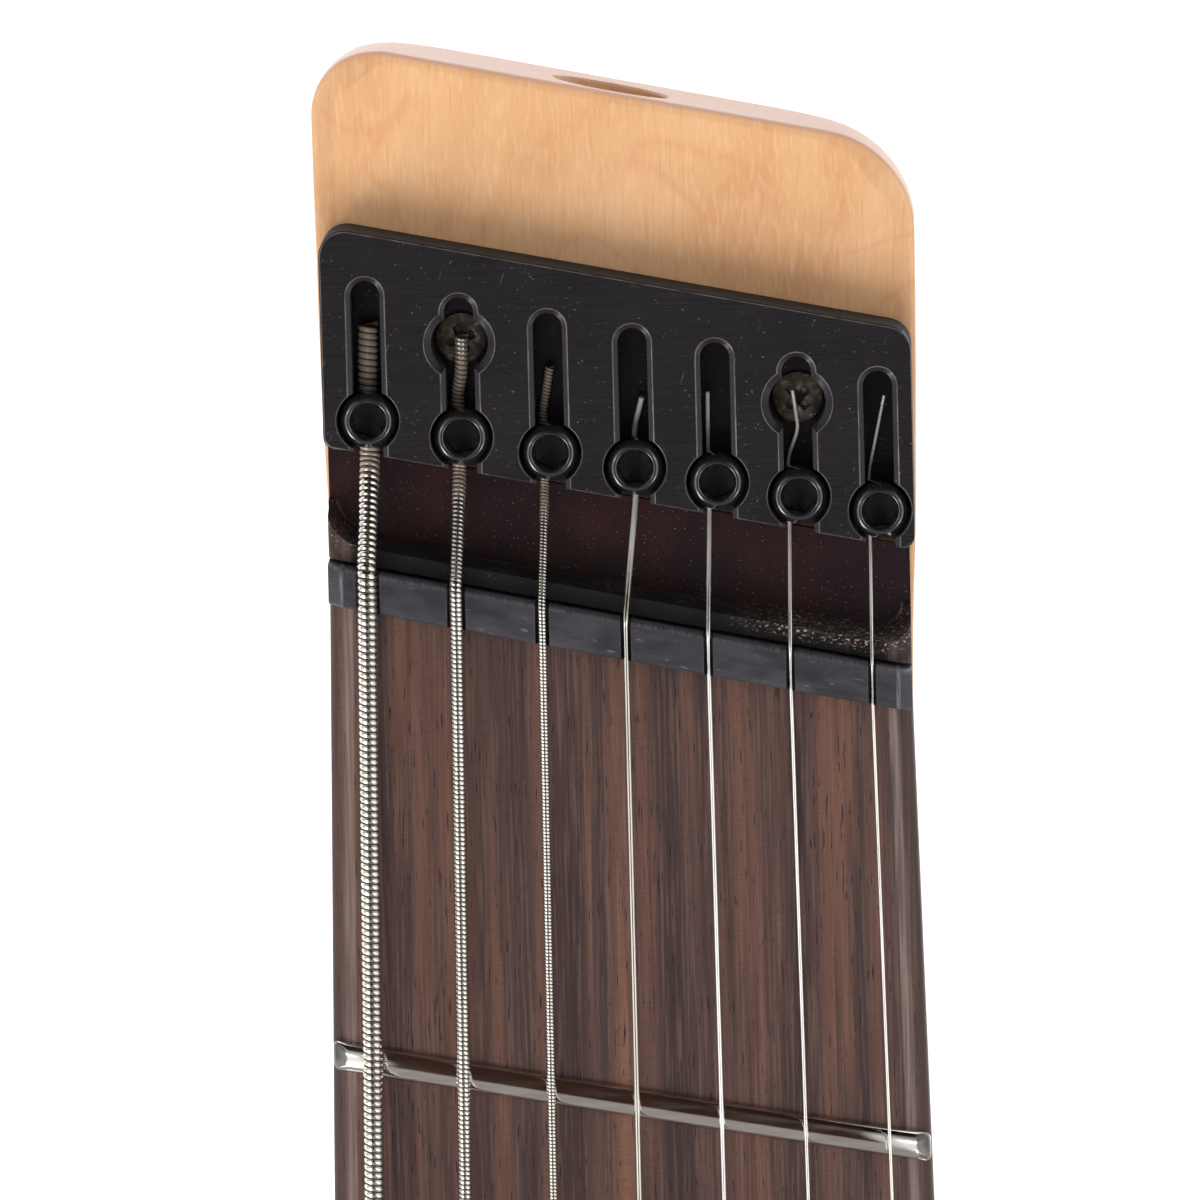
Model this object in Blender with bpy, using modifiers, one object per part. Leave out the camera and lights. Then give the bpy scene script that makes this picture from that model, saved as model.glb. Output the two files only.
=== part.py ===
"""Seven-string headless electric guitar with fanned frets, lying on its flat back.

Metres. +Z points out of the front, +Y from the bridge to the head, +X to the treble side. The origin
lies on the flat back of the body, on the centreline, under the middle of the saddle line.
"""

import math

import bmesh
import bpy
from mathutils import Matrix, Vector

# Gap left between two pieces that touch on the real guitar
CLEAR = 0.0003

# Fan: scale of the outer strings, and the fret that stands square to the neck
BASS_SCALE = 0.665
TREBLE_SCALE = 0.648
SQUARE_FRET = 12
FRET_COUNT = 24

# Strings, bass to treble
STRING_DIAMETERS = (0.00160, 0.00105, 0.00070, 0.00046, 0.00036, 0.00030, 0.00025)
NUT_SPREAD = 0.0411
NUT_EVEN_GAPS = 0.5
SADDLE_PITCH = 0.0104
NUT_ACTION = 0.00155
SADDLE_ACTION = 0.0043

# Body: its width and length, where its tail lies, and its outline in shares of both
BODY_THICK = 0.042
BODY_EDGE = 0.005
BODY_WIDTH = 0.326
BODY_LENGTH = 0.402
BODY_TAIL = -0.084
BODY_SHAPE = (
    (0.0000, 0.0000), (0.2393, 0.0100), (0.4233, 0.0771), (0.4908, 0.2338), (0.4448, 0.4204),
    (0.4018, 0.5622), (0.4264, 0.6816), (0.4233, 0.7861), (0.3620, 0.8458), (0.2883, 0.8209),
    (0.2147, 0.7562), (0.1288, 0.7413), (0.0000, 0.7861), (-0.1288, 0.8060), (-0.2209, 0.8507),
    (-0.2822, 0.9552), (-0.3497, 1.0000), (-0.4202, 0.9701), (-0.4509, 0.8433), (-0.4294, 0.6940),
    (-0.4080, 0.5697), (-0.4601, 0.4080), (-0.5092, 0.2214), (-0.4509, 0.0647), (-0.2515, 0.0050),
)
TAIL_POINT = 0
SIDE_POINT = 3
HORN_POINT = 16
ARM_CUT_X = -0.096
ARM_CUT_TURN = math.radians(14)
ARM_CUT_SLOPE = math.radians(11)

# Neck and head
NECK_FACE_RISE = 0.001
NUT_HALF_WIDTH = 0.0238
LAST_FRET_HALF_WIDTH = 0.032
HEAD_HALF_WIDTH = 0.02415
HEAD_LENGTH = 0.0460
HEAD_DEPTH = 0.0130
HEAD_CORNER = 0.0066
NECK_DEPTH_LOW = 0.0134
NECK_DEPTH_HIGH = 0.0148
HEEL_DEPTH = 0.0157
HEEL_LENGTH = 0.072

# Fretboard, frets and nut
BOARD_THICK = 0.0060
BOARD_RADIUS = 0.508
BOARD_END = 0.007
FRET_WIDTH = 0.0025
FRET_HEIGHT = 0.0011
FRET_ROOT = 0.0006
FRET_INSET = 0.0008
NUT_THICK = 0.0035
NUT_SEAT_DEPTH = 0.0028
NUT_RECESS_FLOOR = 0.0010

# String lock plate on the head
PLATE_HALF_WIDTH = 0.0241
PLATE_SHIFT = 0.0002
PLATE_LENGTH = 0.0182
PLATE_GAP_FROM_NUT = 0.0132
PLATE_SLANT = 0.199
PLATE_THICK = 0.0062
PLATE_FLOOR = 0.0012
PLATE_CORNER_TOP = 0.0021
PLATE_CORNER_LOW = 0.0010
LOCK_SPREAD = 0.0417
LOCK_EVEN_GAPS = 0.9
LOCK_SHIFT = 0.00065
LOCK_SETBACK = 0.0028
LOCK_RADIUS = 0.00235
LOCK_SOCKET = 0.0025
LOCK_SOCKET_DEPTH = 0.0014
CHANNEL_WIDTH = 0.0024
CHANNEL_REACH = 0.0115
LOCK_EXIT_OFFSETS = (-0.0001, -0.0004, -0.0004, -0.0001, -0.0008, -0.0009, -0.0009)
TAIL_LENGTHS = (0.0081, 0.0078, 0.0073, 0.0056, 0.0071, 0.0084, 0.0093)
TAIL_END_OFFSETS = (0.0001, 0.0001, 0.0003, 0.0006, -0.0007, -0.0004, 0.0005)
PLATE_SCREW_STRINGS = (1, 5)
PLATE_SCREW_SETBACK = 0.0077
PLATE_SCREW_HEAD = 0.00205
PLATE_SCREW_HEAD_HEIGHT = 0.0012
PLATE_SCREW_SHANK = 0.0012
PLATE_SCREW_LENGTH = 0.010
PLATE_SCREW_FLOOR = 0.0006

# Truss rod
ROD_WIDTH = 0.0060
ROD_HEIGHT = 0.0076
ROD_AXIS_DEPTH = 0.0047
ROD_NUT_RADIUS = 0.0031
ROD_NUT_LENGTH = 0.0095
ROD_NUT_SOCKET = 0.0040
ROD_NUT_SOCKET_DEPTH = 0.0050
ROD_END_PAST_NUT = 0.0075
ROD_START = 0.178
ACCESS_HALF_WIDTH = 0.00485
ACCESS_HALF_HEIGHT = 0.00345

# Bridge
BASE_SIDE_WALL = 0.0016
BASE_FLOOR = 0.0030
BASE_WALL_HEIGHT = 0.0087
BASE_FRONT = 0.0170
BASE_REAR_WALL = 0.0360
BASE_REAR_WALL_THICK = 0.0050
BASE_REAR_WALL_HEIGHT = 0.0109
CHANNEL_FRONT = 0.0135
BRIDGE_CHANNEL = 0.0076
SADDLE_HALF_LENGTH = 0.0065
SADDLE_SHOULDER = 0.0050
SLIDER_FRONT = 0.0140
SLIDER_LENGTH = 0.0140
SLIDER_HEIGHT = 0.0074
SLIDER_BORE_DEPTH = 0.0115
SLIDER_STRING_DROP = 0.0031
SLIDER_STRING_HOLE = 0.0020
KNOB_SHAFT = 0.0020
KNOB_AXIS_RISE = 0.0070
KNOB_SHAFT_IN_SLIDER = 0.0035
KNOB_RADIUS = 0.0046
KNOB_LENGTH = 0.0130
KNOB_CHAMFER = 0.0006

# Pickups
PICKUP_HALF_LENGTH = 0.0450
PICKUP_WIDTH = 0.0380
PICKUP_HEIGHT = 0.0210
PICKUP_PROUD = 0.0072
PICKUP_CORNER = 0.0030
PICKUP_ROOM = 0.0005
BRIDGE_PICKUP_Y = 0.0400
NECK_PICKUP_Y = 0.1330

# Controls
VOLUME_XY = (0.096, 0.022)
TONE_XY = (0.100, -0.022)
SWITCH_XY = (0.094, 0.062)
CAVITY_LOW = (0.064, -0.046)
CAVITY_HIGH = (0.124, 0.084)
TOP_OVER_CAVITY = 0.006
COVER_LIP = 0.004
COVER_THICK = 0.0025
COVER_CORNER = 0.010
POT_RADIUS = 0.008
POT_HEIGHT = 0.008
POT_BUSHING = 0.0037
POT_NUT_RADIUS = 0.0055
POT_NUT_HEIGHT = 0.0020
STEM_RADIUS = 0.0025
DIAL_RADIUS = 0.0092
DIAL_HEIGHT = 0.0150
SWITCH_BUSHING = 0.0060
SWITCH_BORE = 0.0038
SWITCH_NUT_RADIUS = 0.0080
SWITCH_NUT_HEIGHT = 0.0020
SWITCH_BOX = (0.014, 0.026, 0.012)
SWITCH_BORE_DEPTH = 0.0100
LEVER_BALL = 0.0034
LEVER_PIVOT_DEPTH = 0.0020
LEVER_STEM = 0.0016
LEVER_LENGTH = 0.0165
LEVER_STUB = 0.0040
LEVER_TIP = 0.0032

# Jack, strap buttons and neck bolts
JACK_Y = 0.010
JACK_Z = 0.021
JACK_FLANGE_RADIUS = 0.011
JACK_FLANGE_THICK = 0.0022
JACK_BARREL_RADIUS = 0.0050
JACK_BORE_RADIUS = 0.00325
JACK_BORE_DEPTH = 0.022
JACK_LENGTH = 0.025
JACK_SINK = 0.0010
BUTTON_Z = 0.021
BUTTON_BASE_RADIUS = 0.0058
BUTTON_WAIST_RADIUS = 0.0040
BUTTON_HEAD_RADIUS = 0.0072
BUTTON_HEIGHT = 0.0125
BUTTON_SCREW_RADIUS = 0.0018
BUTTON_SCREW_LENGTH = 0.020
BOLT_PLACES = ((-0.018, 0.174), (0.018, 0.174), (-0.014, 0.214))
BOLT_HEAD_RADIUS = 0.0050
BOLT_HEAD_HEIGHT = 0.0030
BOLT_SHANK = 0.0022
BOLT_REACH = 0.0095

# Worked out from the sizes above
STRINGS = len(STRING_DIAMETERS)
BODY_OUTLINE = [(x * BODY_WIDTH, BODY_TAIL + y * BODY_LENGTH) for x, y in BODY_SHAPE]
MEAN_SCALE = (BASS_SCALE + TREBLE_SCALE) / 2
SQUARE_SHARE = 2 ** (-SQUARE_FRET / 12)
NECK_FACE = BODY_THICK + NECK_FACE_RISE
BOARD_UNDER = NECK_FACE + CLEAR
BOARD_TOP = BOARD_UNDER + BOARD_THICK
NUT_Y = MEAN_SCALE
PLATE_UNDER = NECK_FACE + CLEAR
PLATE_TOP = PLATE_UNDER + PLATE_THICK
CHANNEL_Z = PLATE_UNDER + PLATE_FLOOR
BASE_UNDER = BODY_THICK + CLEAR
BASE_TOP = BASE_UNDER + BASE_FLOOR
KNOB_Z = BASE_UNDER + KNOB_AXIS_RISE
SLIDER_WIDTH = BRIDGE_CHANNEL - 2 * CLEAR
ROD_Z = NECK_FACE - ROD_AXIS_DEPTH
CAVITY_CEILING = BODY_THICK - TOP_OVER_CAVITY

for old in list(bpy.data.objects):
    bpy.data.objects.remove(old, do_unlink=True)


def collection(name):
    made = bpy.data.collections.new(name)
    bpy.context.scene.collection.children.link(made)
    return made


PARTS = collection("headless_guitar")
CUTTERS = collection("cutters")


def material(name, colour, roughness, metallic=0.0):
    made = bpy.data.materials.new(name)
    made.use_nodes = True
    shader = made.node_tree.nodes["Principled BSDF"]
    shader.inputs["Base Color"].default_value = (*colour, 1)
    shader.inputs["Roughness"].default_value = roughness
    shader.inputs["Metallic"].default_value = metallic
    made.diffuse_color = (*colour, 1)
    return made


MAPLE = material("maple", (0.66, 0.38, 0.17), 0.45)
ROSEWOOD = material("rosewood", (0.075, 0.035, 0.025), 0.45)
BODY_WOOD = material("body_wood", (0.20, 0.095, 0.045), 0.35)
BLACK_METAL = material("black_metal", (0.012, 0.012, 0.014), 0.38, 0.7)
SCREW_STEEL = material("screw_steel", (0.10, 0.075, 0.06), 0.35, 1.0)
STRING_STEEL = material("string_steel", (0.58, 0.56, 0.52), 0.28, 1.0)
NUT_GREY = material("nut_grey", (0.06, 0.06, 0.068), 0.5)
ROD_STEEL = material("rod_steel", (0.35, 0.35, 0.36), 0.4, 1.0)
BLACK_PLASTIC = material("black_plastic", (0.015, 0.015, 0.016), 0.45)


def add(name, mesh, finish=None, matrix=None):
    """An object of the guitar, or a cutter where no finish is given."""
    obj = bpy.data.objects.new(name, mesh)
    (PARTS if finish else CUTTERS).objects.link(obj)
    if finish and not mesh.materials:
        mesh.materials.append(finish)
    if not finish:
        obj.hide_render = True
        obj.display_type = "WIRE"
    if matrix:
        obj.matrix_world = matrix
    return obj


def finished_mesh(name, shape):
    """The mesh of a bmesh, its faces outwards and its round sides smooth."""
    bmesh.ops.recalc_face_normals(shape, faces=shape.faces)
    mesh = bpy.data.meshes.new(name)
    shape.to_mesh(mesh)
    shape.free()
    mesh.shade_smooth()
    mesh.set_sharp_from_angle(angle=math.radians(32))
    return mesh


def box(name, low, high):
    """A block between two opposite corners."""
    shape = bmesh.new()
    bmesh.ops.create_cube(shape, size=1)
    low, high = Vector(low), Vector(high)
    for vertex in shape.verts:
        share = vertex.co + Vector((0.5, 0.5, 0.5))
        vertex.co = Vector(a + (b - a) * s for a, b, s in zip(low, high, share))
    return finished_mesh(name, shape)


def rod(name, radius, start, end, sides=20, squash=1.0):
    """A round bar from start to end. On a bar along Y, squash is its height over its width."""
    start, end = Vector(start), Vector(end)
    along = end - start
    shape = bmesh.new()
    bmesh.ops.create_cone(
        shape, cap_ends=True, segments=sides, radius1=radius, radius2=radius, depth=along.length
    )
    turn = along.to_track_quat("Z", "Y").to_matrix().to_4x4()
    bmesh.ops.transform(shape, matrix=turn, verts=shape.verts)
    bmesh.ops.scale(shape, vec=(1, 1, squash), verts=shape.verts)
    bmesh.ops.translate(shape, vec=(start + end) / 2, verts=shape.verts)
    return finished_mesh(name, shape)


def joined(name, meshes):
    """Several meshes as one mesh of loose closed shapes."""
    shape = bmesh.new()
    for mesh in meshes:
        shape.from_mesh(mesh)
    return finished_mesh(name, shape)


def outline(name, points, low, high, smooth=False):
    """A flat outline extruded from low to high, as a mesh. A smooth outline runs in curves."""
    curve = bpy.data.curves.new(name, "CURVE")
    curve.dimensions = "2D"
    curve.fill_mode = "BOTH"
    curve.extrude = (high - low) / 2
    curve.resolution_u = 6
    spline = curve.splines.new("BEZIER" if smooth else "POLY")
    if smooth:
        spline.bezier_points.add(len(points) - 1)
        for place, point in zip(spline.bezier_points, points):
            place.co = (*point, 0)
            place.handle_left_type = "AUTO"
            place.handle_right_type = "AUTO"
    else:
        spline.points.add(len(points) - 1)
        for place, point in zip(spline.points, points):
            place.co = (*point, 0, 1)
    spline.use_cyclic_u = True
    holder = bpy.data.objects.new(name, curve)
    CUTTERS.objects.link(holder)
    evaluated = holder.evaluated_get(bpy.context.evaluated_depsgraph_get())
    flat = bpy.data.meshes.new_from_object(evaluated)
    bpy.data.objects.remove(holder, do_unlink=True)
    shape = bmesh.new()
    shape.from_mesh(flat)
    bpy.data.meshes.remove(flat)
    bmesh.ops.remove_doubles(shape, verts=shape.verts, dist=0.000002)
    bmesh.ops.dissolve_limit(shape, angle_limit=math.radians(0.05), verts=shape.verts, edges=shape.edges)
    bmesh.ops.translate(shape, vec=(0, 0, (low + high) / 2), verts=shape.verts)
    return finished_mesh(name, shape)


def turned(name, profile, finish, matrix=None, steps=20):
    """A turned piece: (radius, height) points down the outside, spun about Z by a Screw modifier."""
    mesh = bpy.data.meshes.new(name)
    points = [(radius, 0, height) for radius, height in profile]
    mesh.from_pydata(points, [(i, i + 1) for i in range(len(points) - 1)], [])
    obj = add(name, mesh, finish, matrix)
    screw = obj.modifiers.new("turn", "SCREW")
    screw.steps = steps
    screw.render_steps = steps
    screw.use_merge_vertices = True
    screw.merge_threshold = 0.00001
    screw.use_smooth_shade = True
    return obj


def loft(name, sections):
    """A closed solid through sections that have as many points as each other."""
    shape = bmesh.new()
    rings = [[shape.verts.new(point) for point in section] for section in sections]
    for first, second in zip(rings, rings[1:]):
        for i in range(len(first)):
            j = (i + 1) % len(first)
            shape.faces.new((first[i], first[j], second[j], second[i]))
    shape.faces.new(rings[0])
    shape.faces.new(list(reversed(rings[-1])))
    return finished_mesh(name, shape)


def boolean(target, mesh, operation="DIFFERENCE", label="cut"):
    """Cuts a mesh out of an object, or joins it on, with a live Boolean modifier."""
    cutter = add(f"{target.name}_{label}", mesh)
    modifier = target.modifiers.new(label, "BOOLEAN")
    modifier.operation = operation
    modifier.object = cutter


def bevel(target, width, segments=2, angle=math.radians(50)):
    modifier = target.modifiers.new("edges", "BEVEL")
    modifier.width = width
    modifier.segments = segments
    modifier.limit_method = "ANGLE"
    modifier.angle_limit = angle
    modifier.use_clamp_overlap = False


def rounded(points, radii, steps=4):
    """An outline whose corners are arcs of the given radii."""
    result = []
    for i, corner in enumerate(points):
        here = Vector(corner)
        before = (Vector(points[i - 1]) - here).normalized()
        after = (Vector(points[(i + 1) % len(points)]) - here).normalized()
        half = before.angle(after) / 2
        reach = radii[i] / math.tan(half)
        centre = here + (before + after).normalized() * radii[i] / math.sin(half)
        first = here + before * reach - centre
        turn = before.angle_signed(after)
        sweep = math.copysign(math.pi - abs(turn), turn)
        for step in range(steps + 1):
            swung = Matrix.Rotation(sweep * step / steps, 2) @ first
            result.append(tuple(centre + swung))
    return result


def string_places(spread, even_gaps):
    """Centres of the strings across the neck, between equal centres (0) and equal gaps (1)."""
    pairs = [(a + b) / 2 for a, b in zip(STRING_DIAMETERS, STRING_DIAMETERS[1:])]
    gap = (spread - sum(pairs)) / len(pairs)
    places = [-spread / 2]
    for pair in pairs:
        step = (1 - even_gaps) * spread / len(pairs) + even_gaps * (gap + pair)
        places.append(places[-1] + step)
    return places


def saddle_spread():
    return SADDLE_PITCH * (STRINGS - 1)


def fan(share):
    """Middle and slope dy/dx of the line where every string has this share of its length left."""
    middle = MEAN_SCALE * share
    spread = saddle_spread() + (NUT_SPREAD - saddle_spread()) * share
    slope = -(BASS_SCALE - TREBLE_SCALE) * (share - SQUARE_SHARE) / spread
    return middle, slope


def fret_line(number):
    return fan(2 ** (-number / 12))


NUT_X = string_places(NUT_SPREAD, NUT_EVEN_GAPS)
SADDLE_X = string_places(saddle_spread(), 0)
LOCK_X = [x + LOCK_SHIFT for x in string_places(LOCK_SPREAD, LOCK_EVEN_GAPS)]
SADDLE_SLOPE = fan(0)[1]
NUT_SLOPE = fan(1)[1]
SADDLE_Y = [SADDLE_SLOPE * x for x in SADDLE_X]
PLATE_LOW_Y = NUT_Y + PLATE_GAP_FROM_NUT
LOCK_Y = [PLATE_LOW_Y + LOCK_SETBACK - PLATE_SLANT * x for x in LOCK_X]
BOARD_END_Y = fret_line(FRET_COUNT)[0] - BOARD_END
BOARD_END_SLOPE = fret_line(FRET_COUNT)[1]
LAST_FRET_Y = fret_line(FRET_COUNT)[0]


def drop(x):
    """How far the curved fretboard lies below its crown at x."""
    return x * x / (2 * BOARD_RADIUS)


def half_width(y):
    """Half the width of the neck: a straight taper to the nut, then out to the head's width."""
    if y <= NUT_Y:
        share = (NUT_Y - y) / (NUT_Y - LAST_FRET_Y)
        return NUT_HALF_WIDTH + (LAST_FRET_HALF_WIDTH - NUT_HALF_WIDTH) * share
    share = min((y - NUT_Y) / PLATE_GAP_FROM_NUT, 1)
    return NUT_HALF_WIDTH + (HEAD_HALF_WIDTH - NUT_HALF_WIDTH) * share


def saddle_string_z(i):
    return BOARD_TOP - drop(SADDLE_X[i]) + SADDLE_ACTION


def nut_string_z(i):
    return BOARD_TOP - drop(NUT_X[i]) + NUT_ACTION


def make_body():
    mesh = outline("body", BODY_OUTLINE, 0, BODY_THICK, smooth=True)
    body = add("body", mesh, BODY_WOOD)
    bevel(body, BODY_EDGE, 3)
    reach = BODY_THICK * 5
    arm = box("arm", (-reach, -reach, 0), (0, reach, reach / 2))
    crease = Matrix.Translation((ARM_CUT_X, 0, BODY_THICK)) @ Matrix.Rotation(ARM_CUT_TURN, 4, "Z")
    arm.transform(crease @ Matrix.Rotation(-ARM_CUT_SLOPE, 4, "Y"))
    boolean(body, arm, label="arm_cut")
    boolean(body, heel_pocket(), label="neck_pocket")
    for label, y in (("bridge", BRIDGE_PICKUP_Y), ("neck", NECK_PICKUP_Y)):
        pocket = pickup_block(f"{label}_pocket", y, PICKUP_ROOM, BODY_THICK * 1.5)
        boolean(body, pocket, label=f"{label}_pickup_pocket")
    boolean(body, cover_shape("recess", CLEAR, -0.002, COVER_THICK + 2 * CLEAR), label="cover_recess")
    cavity = box("cavity", (*CAVITY_LOW, -0.002), (*CAVITY_HIGH, CAVITY_CEILING))
    boolean(body, cavity, label="control_cavity")
    for label, (x, y), radius in (
        ("volume", VOLUME_XY, POT_BUSHING),
        ("tone", TONE_XY, POT_BUSHING),
        ("switch", SWITCH_XY, SWITCH_BUSHING),
    ):
        hole = rod(label, radius + CLEAR, (x, y, CAVITY_CEILING - 0.002), (x, y, BODY_THICK + 0.002))
        boolean(body, hole, label=f"{label}_hole")
    side = BODY_OUTLINE[SIDE_POINT][0]
    flange_seat = side - JACK_SINK - JACK_FLANGE_THICK - CLEAR
    boolean(body, rod("jack_recess", JACK_FLANGE_RADIUS + CLEAR, (flange_seat, JACK_Y, JACK_Z),
                      (side + 0.01, JACK_Y, JACK_Z), 24), label="jack_recess")
    boolean(body, rod("jack_hole", JACK_BARREL_RADIUS + CLEAR, (CAVITY_HIGH[0] - 0.002, JACK_Y, JACK_Z),
                      (flange_seat + 0.001, JACK_Y, JACK_Z)), label="jack_hole")
    for number, (x, y, way) in enumerate(button_places(), 1):
        hole = rod("button", BUTTON_SCREW_RADIUS + CLEAR, (x, y + way * 0.01, BUTTON_Z),
                   (x, y - way * (BUTTON_SCREW_LENGTH + CLEAR), BUTTON_Z), 12)
        boolean(body, hole, label=f"button_{number}_hole")
    for number, (x, y) in enumerate(BOLT_PLACES, 1):
        counterbore = rod("bolt_head", BOLT_HEAD_RADIUS + CLEAR, (x, y, -0.002),
                          (x, y, BOLT_HEAD_HEIGHT + 2 * CLEAR))
        boolean(body, counterbore, label=f"bolt_{number}_head_hole")
        through = rod("bolt_shank", BOLT_SHANK + CLEAR, (x, y, 0), (x, y, BODY_THICK), 12)
        boolean(body, through, label=f"bolt_{number}_hole")


def button_places():
    """The tail's middle and the tip of the bass horn, and which way along Y each button points."""
    tail, horn = BODY_OUTLINE[TAIL_POINT], BODY_OUTLINE[HORN_POINT]
    return (*tail, -1), (*horn, 1)


def heel_pocket():
    """The pocket: the heel's plan with its clearance, open towards the head."""
    start = BOARD_END_Y - CLEAR
    stop = start + HEEL_LENGTH * 2
    floor = NECK_FACE - HEEL_DEPTH - CLEAR
    low, high = half_width(start) + CLEAR, half_width(stop) + CLEAR
    plan = [
        (-low, start - BOARD_END_SLOPE * low),
        (low, start + BOARD_END_SLOPE * low),
        (high, stop),
        (-high, stop),
    ]
    return outline("pocket", plan, floor, BODY_THICK * 1.5)


def neck_section(y, half, depth, power, slope):
    """A flat face on top and a superellipse under it, slanted along the fan."""
    steps = 14
    points = []
    for step in range(steps + 1):
        angle = math.pi * step / steps
        across = math.copysign(abs(math.cos(angle)) ** (2 / power), math.cos(angle))
        down = abs(math.sin(angle)) ** (2 / power)
        x = half * across
        points.append((x, y + slope * x, NECK_FACE - depth * down))
    return points


def make_neck():
    heel_top = BOARD_END_Y + HEEL_LENGTH
    shaft = heel_top + 0.045
    low = NUT_Y - 0.030
    rows = [
        (BOARD_END_Y, HEEL_DEPTH, 9, BOARD_END_SLOPE),
        (heel_top, HEEL_DEPTH, 9, 0),
        (heel_top + 0.015, HEEL_DEPTH, 6, 0),
        (heel_top + 0.030, (HEEL_DEPTH + NECK_DEPTH_HIGH) / 2, 3.4, 0),
        (shaft, NECK_DEPTH_HIGH, 2.6, 0),
        ((shaft + low) / 2, (NECK_DEPTH_HIGH + NECK_DEPTH_LOW) / 2, 2.5, NUT_SLOPE / 3),
        (low, NECK_DEPTH_LOW, 2.5, NUT_SLOPE),
        (NUT_Y - 0.014, NECK_DEPTH_LOW, 3, NUT_SLOPE),
        (NUT_Y, (NECK_DEPTH_LOW + HEAD_DEPTH) / 2, 4.5, NUT_SLOPE),
        (NUT_Y + 0.010, HEAD_DEPTH, 7, NUT_SLOPE),
    ]
    sections = [neck_section(y, half_width(y), depth, power, slope) for y, depth, power, slope in rows]
    end = NUT_Y + HEAD_LENGTH
    for step in range(7):
        angle = math.pi / 2 * step / 6
        back = HEAD_CORNER * (1 - math.sin(angle))
        half = HEAD_HALF_WIDTH - HEAD_CORNER * (1 - math.cos(angle))
        sections.append(neck_section(end - back, half, HEAD_DEPTH, 7, NUT_SLOPE))
    neck = add("neck", loft("neck", sections), MAPLE)
    channel_half = ROD_WIDTH / 2 + CLEAR
    channel = box("channel", (-channel_half, ROD_START - CLEAR, ROD_Z - ROD_HEIGHT / 2 - CLEAR),
                  (channel_half, NUT_Y + ROD_END_PAST_NUT + 0.001, NECK_FACE + 0.002))
    boolean(neck, channel, label="rod_channel")
    access = rod("access", ACCESS_HALF_WIDTH, (0, NUT_Y + ROD_END_PAST_NUT, ROD_Z),
                 (0, end + 0.01, ROD_Z), 24, ACCESS_HALF_HEIGHT / ACCESS_HALF_WIDTH)
    boolean(neck, access, label="access_hole")
    for number, (x, y) in enumerate(plate_screw_places(), 1):
        hole = rod("pilot", PLATE_SCREW_SHANK + CLEAR,
                   (x, y, PLATE_UNDER - PLATE_SCREW_LENGTH - CLEAR), (x, y, PLATE_TOP), 12)
        boolean(neck, hole, label=f"plate_screw_{number}_hole")
    for number, (x, y) in enumerate(BOLT_PLACES, 1):
        hole = rod("bolt", BOLT_SHANK + CLEAR, (x, y, 0), (x, y, bolt_top() + CLEAR), 12)
        boolean(neck, hole, label=f"bolt_{number}_hole")


def bolt_top():
    return NECK_FACE - HEEL_DEPTH + BOLT_REACH


def make_truss_rod():
    bar = box("truss_rod", (-ROD_WIDTH / 2, ROD_START, ROD_Z - ROD_HEIGHT / 2),
              (ROD_WIDTH / 2, NUT_Y + ROD_END_PAST_NUT - CLEAR, ROD_Z + ROD_HEIGHT / 2))
    bevel(add("truss_rod", bar, ROD_STEEL), 0.0008, 1)
    start = NUT_Y + ROD_END_PAST_NUT
    middle = start + ROD_NUT_LENGTH / 2
    mesh = rod("truss_rod_nut", ROD_NUT_RADIUS, (0, -ROD_NUT_LENGTH / 2, 0), (0, ROD_NUT_LENGTH / 2, 0))
    nut = add("truss_rod_nut", mesh, ROD_STEEL, Matrix.Translation((0, middle + CLEAR, ROD_Z)))
    socket = rod("socket", ROD_NUT_SOCKET / math.sqrt(3), (0, 0, 0), (0, ROD_NUT_SOCKET_DEPTH + 0.002, 0), 6)
    socket.transform(Matrix.Translation((0, start + ROD_NUT_LENGTH + CLEAR - ROD_NUT_SOCKET_DEPTH, ROD_Z)))
    boolean(nut, socket, label="socket")


def board_section(y, half, slope, top):
    """Fretboard section: a flat underside and a top that follows the fretboard's radius."""
    steps = 8
    points = [(half, y + slope * half, BOARD_UNDER), (-half, y - slope * half, BOARD_UNDER)]
    for step in range(steps + 1):
        x = half * (2 * step / steps - 1)
        points.append((x, y + slope * x, top - drop(x)))
    return points


def slanted_bar(name, slope, low, high, floor, ceiling, half):
    """A bar across the neck along a fan line, between low and high in Y at the centreline."""
    plan = [(-half, low - slope * half), (half, low + slope * half),
            (half, high + slope * half), (-half, high - slope * half)]
    return outline(name, plan, floor, ceiling)


def make_fretboard():
    plate_end = PLATE_LOW_Y - CLEAR
    sections = [
        board_section(BOARD_END_Y, half_width(BOARD_END_Y), BOARD_END_SLOPE, BOARD_TOP),
        board_section(NUT_Y, NUT_HALF_WIDTH, NUT_SLOPE, BOARD_TOP),
        board_section(plate_end, half_width(plate_end), -PLATE_SLANT, BOARD_TOP),
    ]
    board = add("fretboard", loft("fretboard", sections), ROSEWOOD)
    frets = joined("frets", [fret_bar(number) for number in range(1, FRET_COUNT + 1)])
    boolean(board, frets, "UNION", "frets")
    wide = HEAD_HALF_WIDTH * 1.3
    seat = slanted_bar("nut_seat", NUT_SLOPE, NUT_Y - CLEAR, NUT_Y + NUT_THICK + CLEAR,
                       BOARD_TOP - NUT_SEAT_DEPTH - CLEAR, BOARD_TOP * 1.2, wide)
    boolean(board, seat, label="nut_seat")
    recess = slanted_bar("recess", NUT_SLOPE, NUT_Y + NUT_THICK + 0.0012, plate_end + 0.02,
                         BOARD_UNDER + NUT_RECESS_FLOOR, BOARD_TOP * 1.2, wide)
    boolean(board, recess, label="recess")


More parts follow.
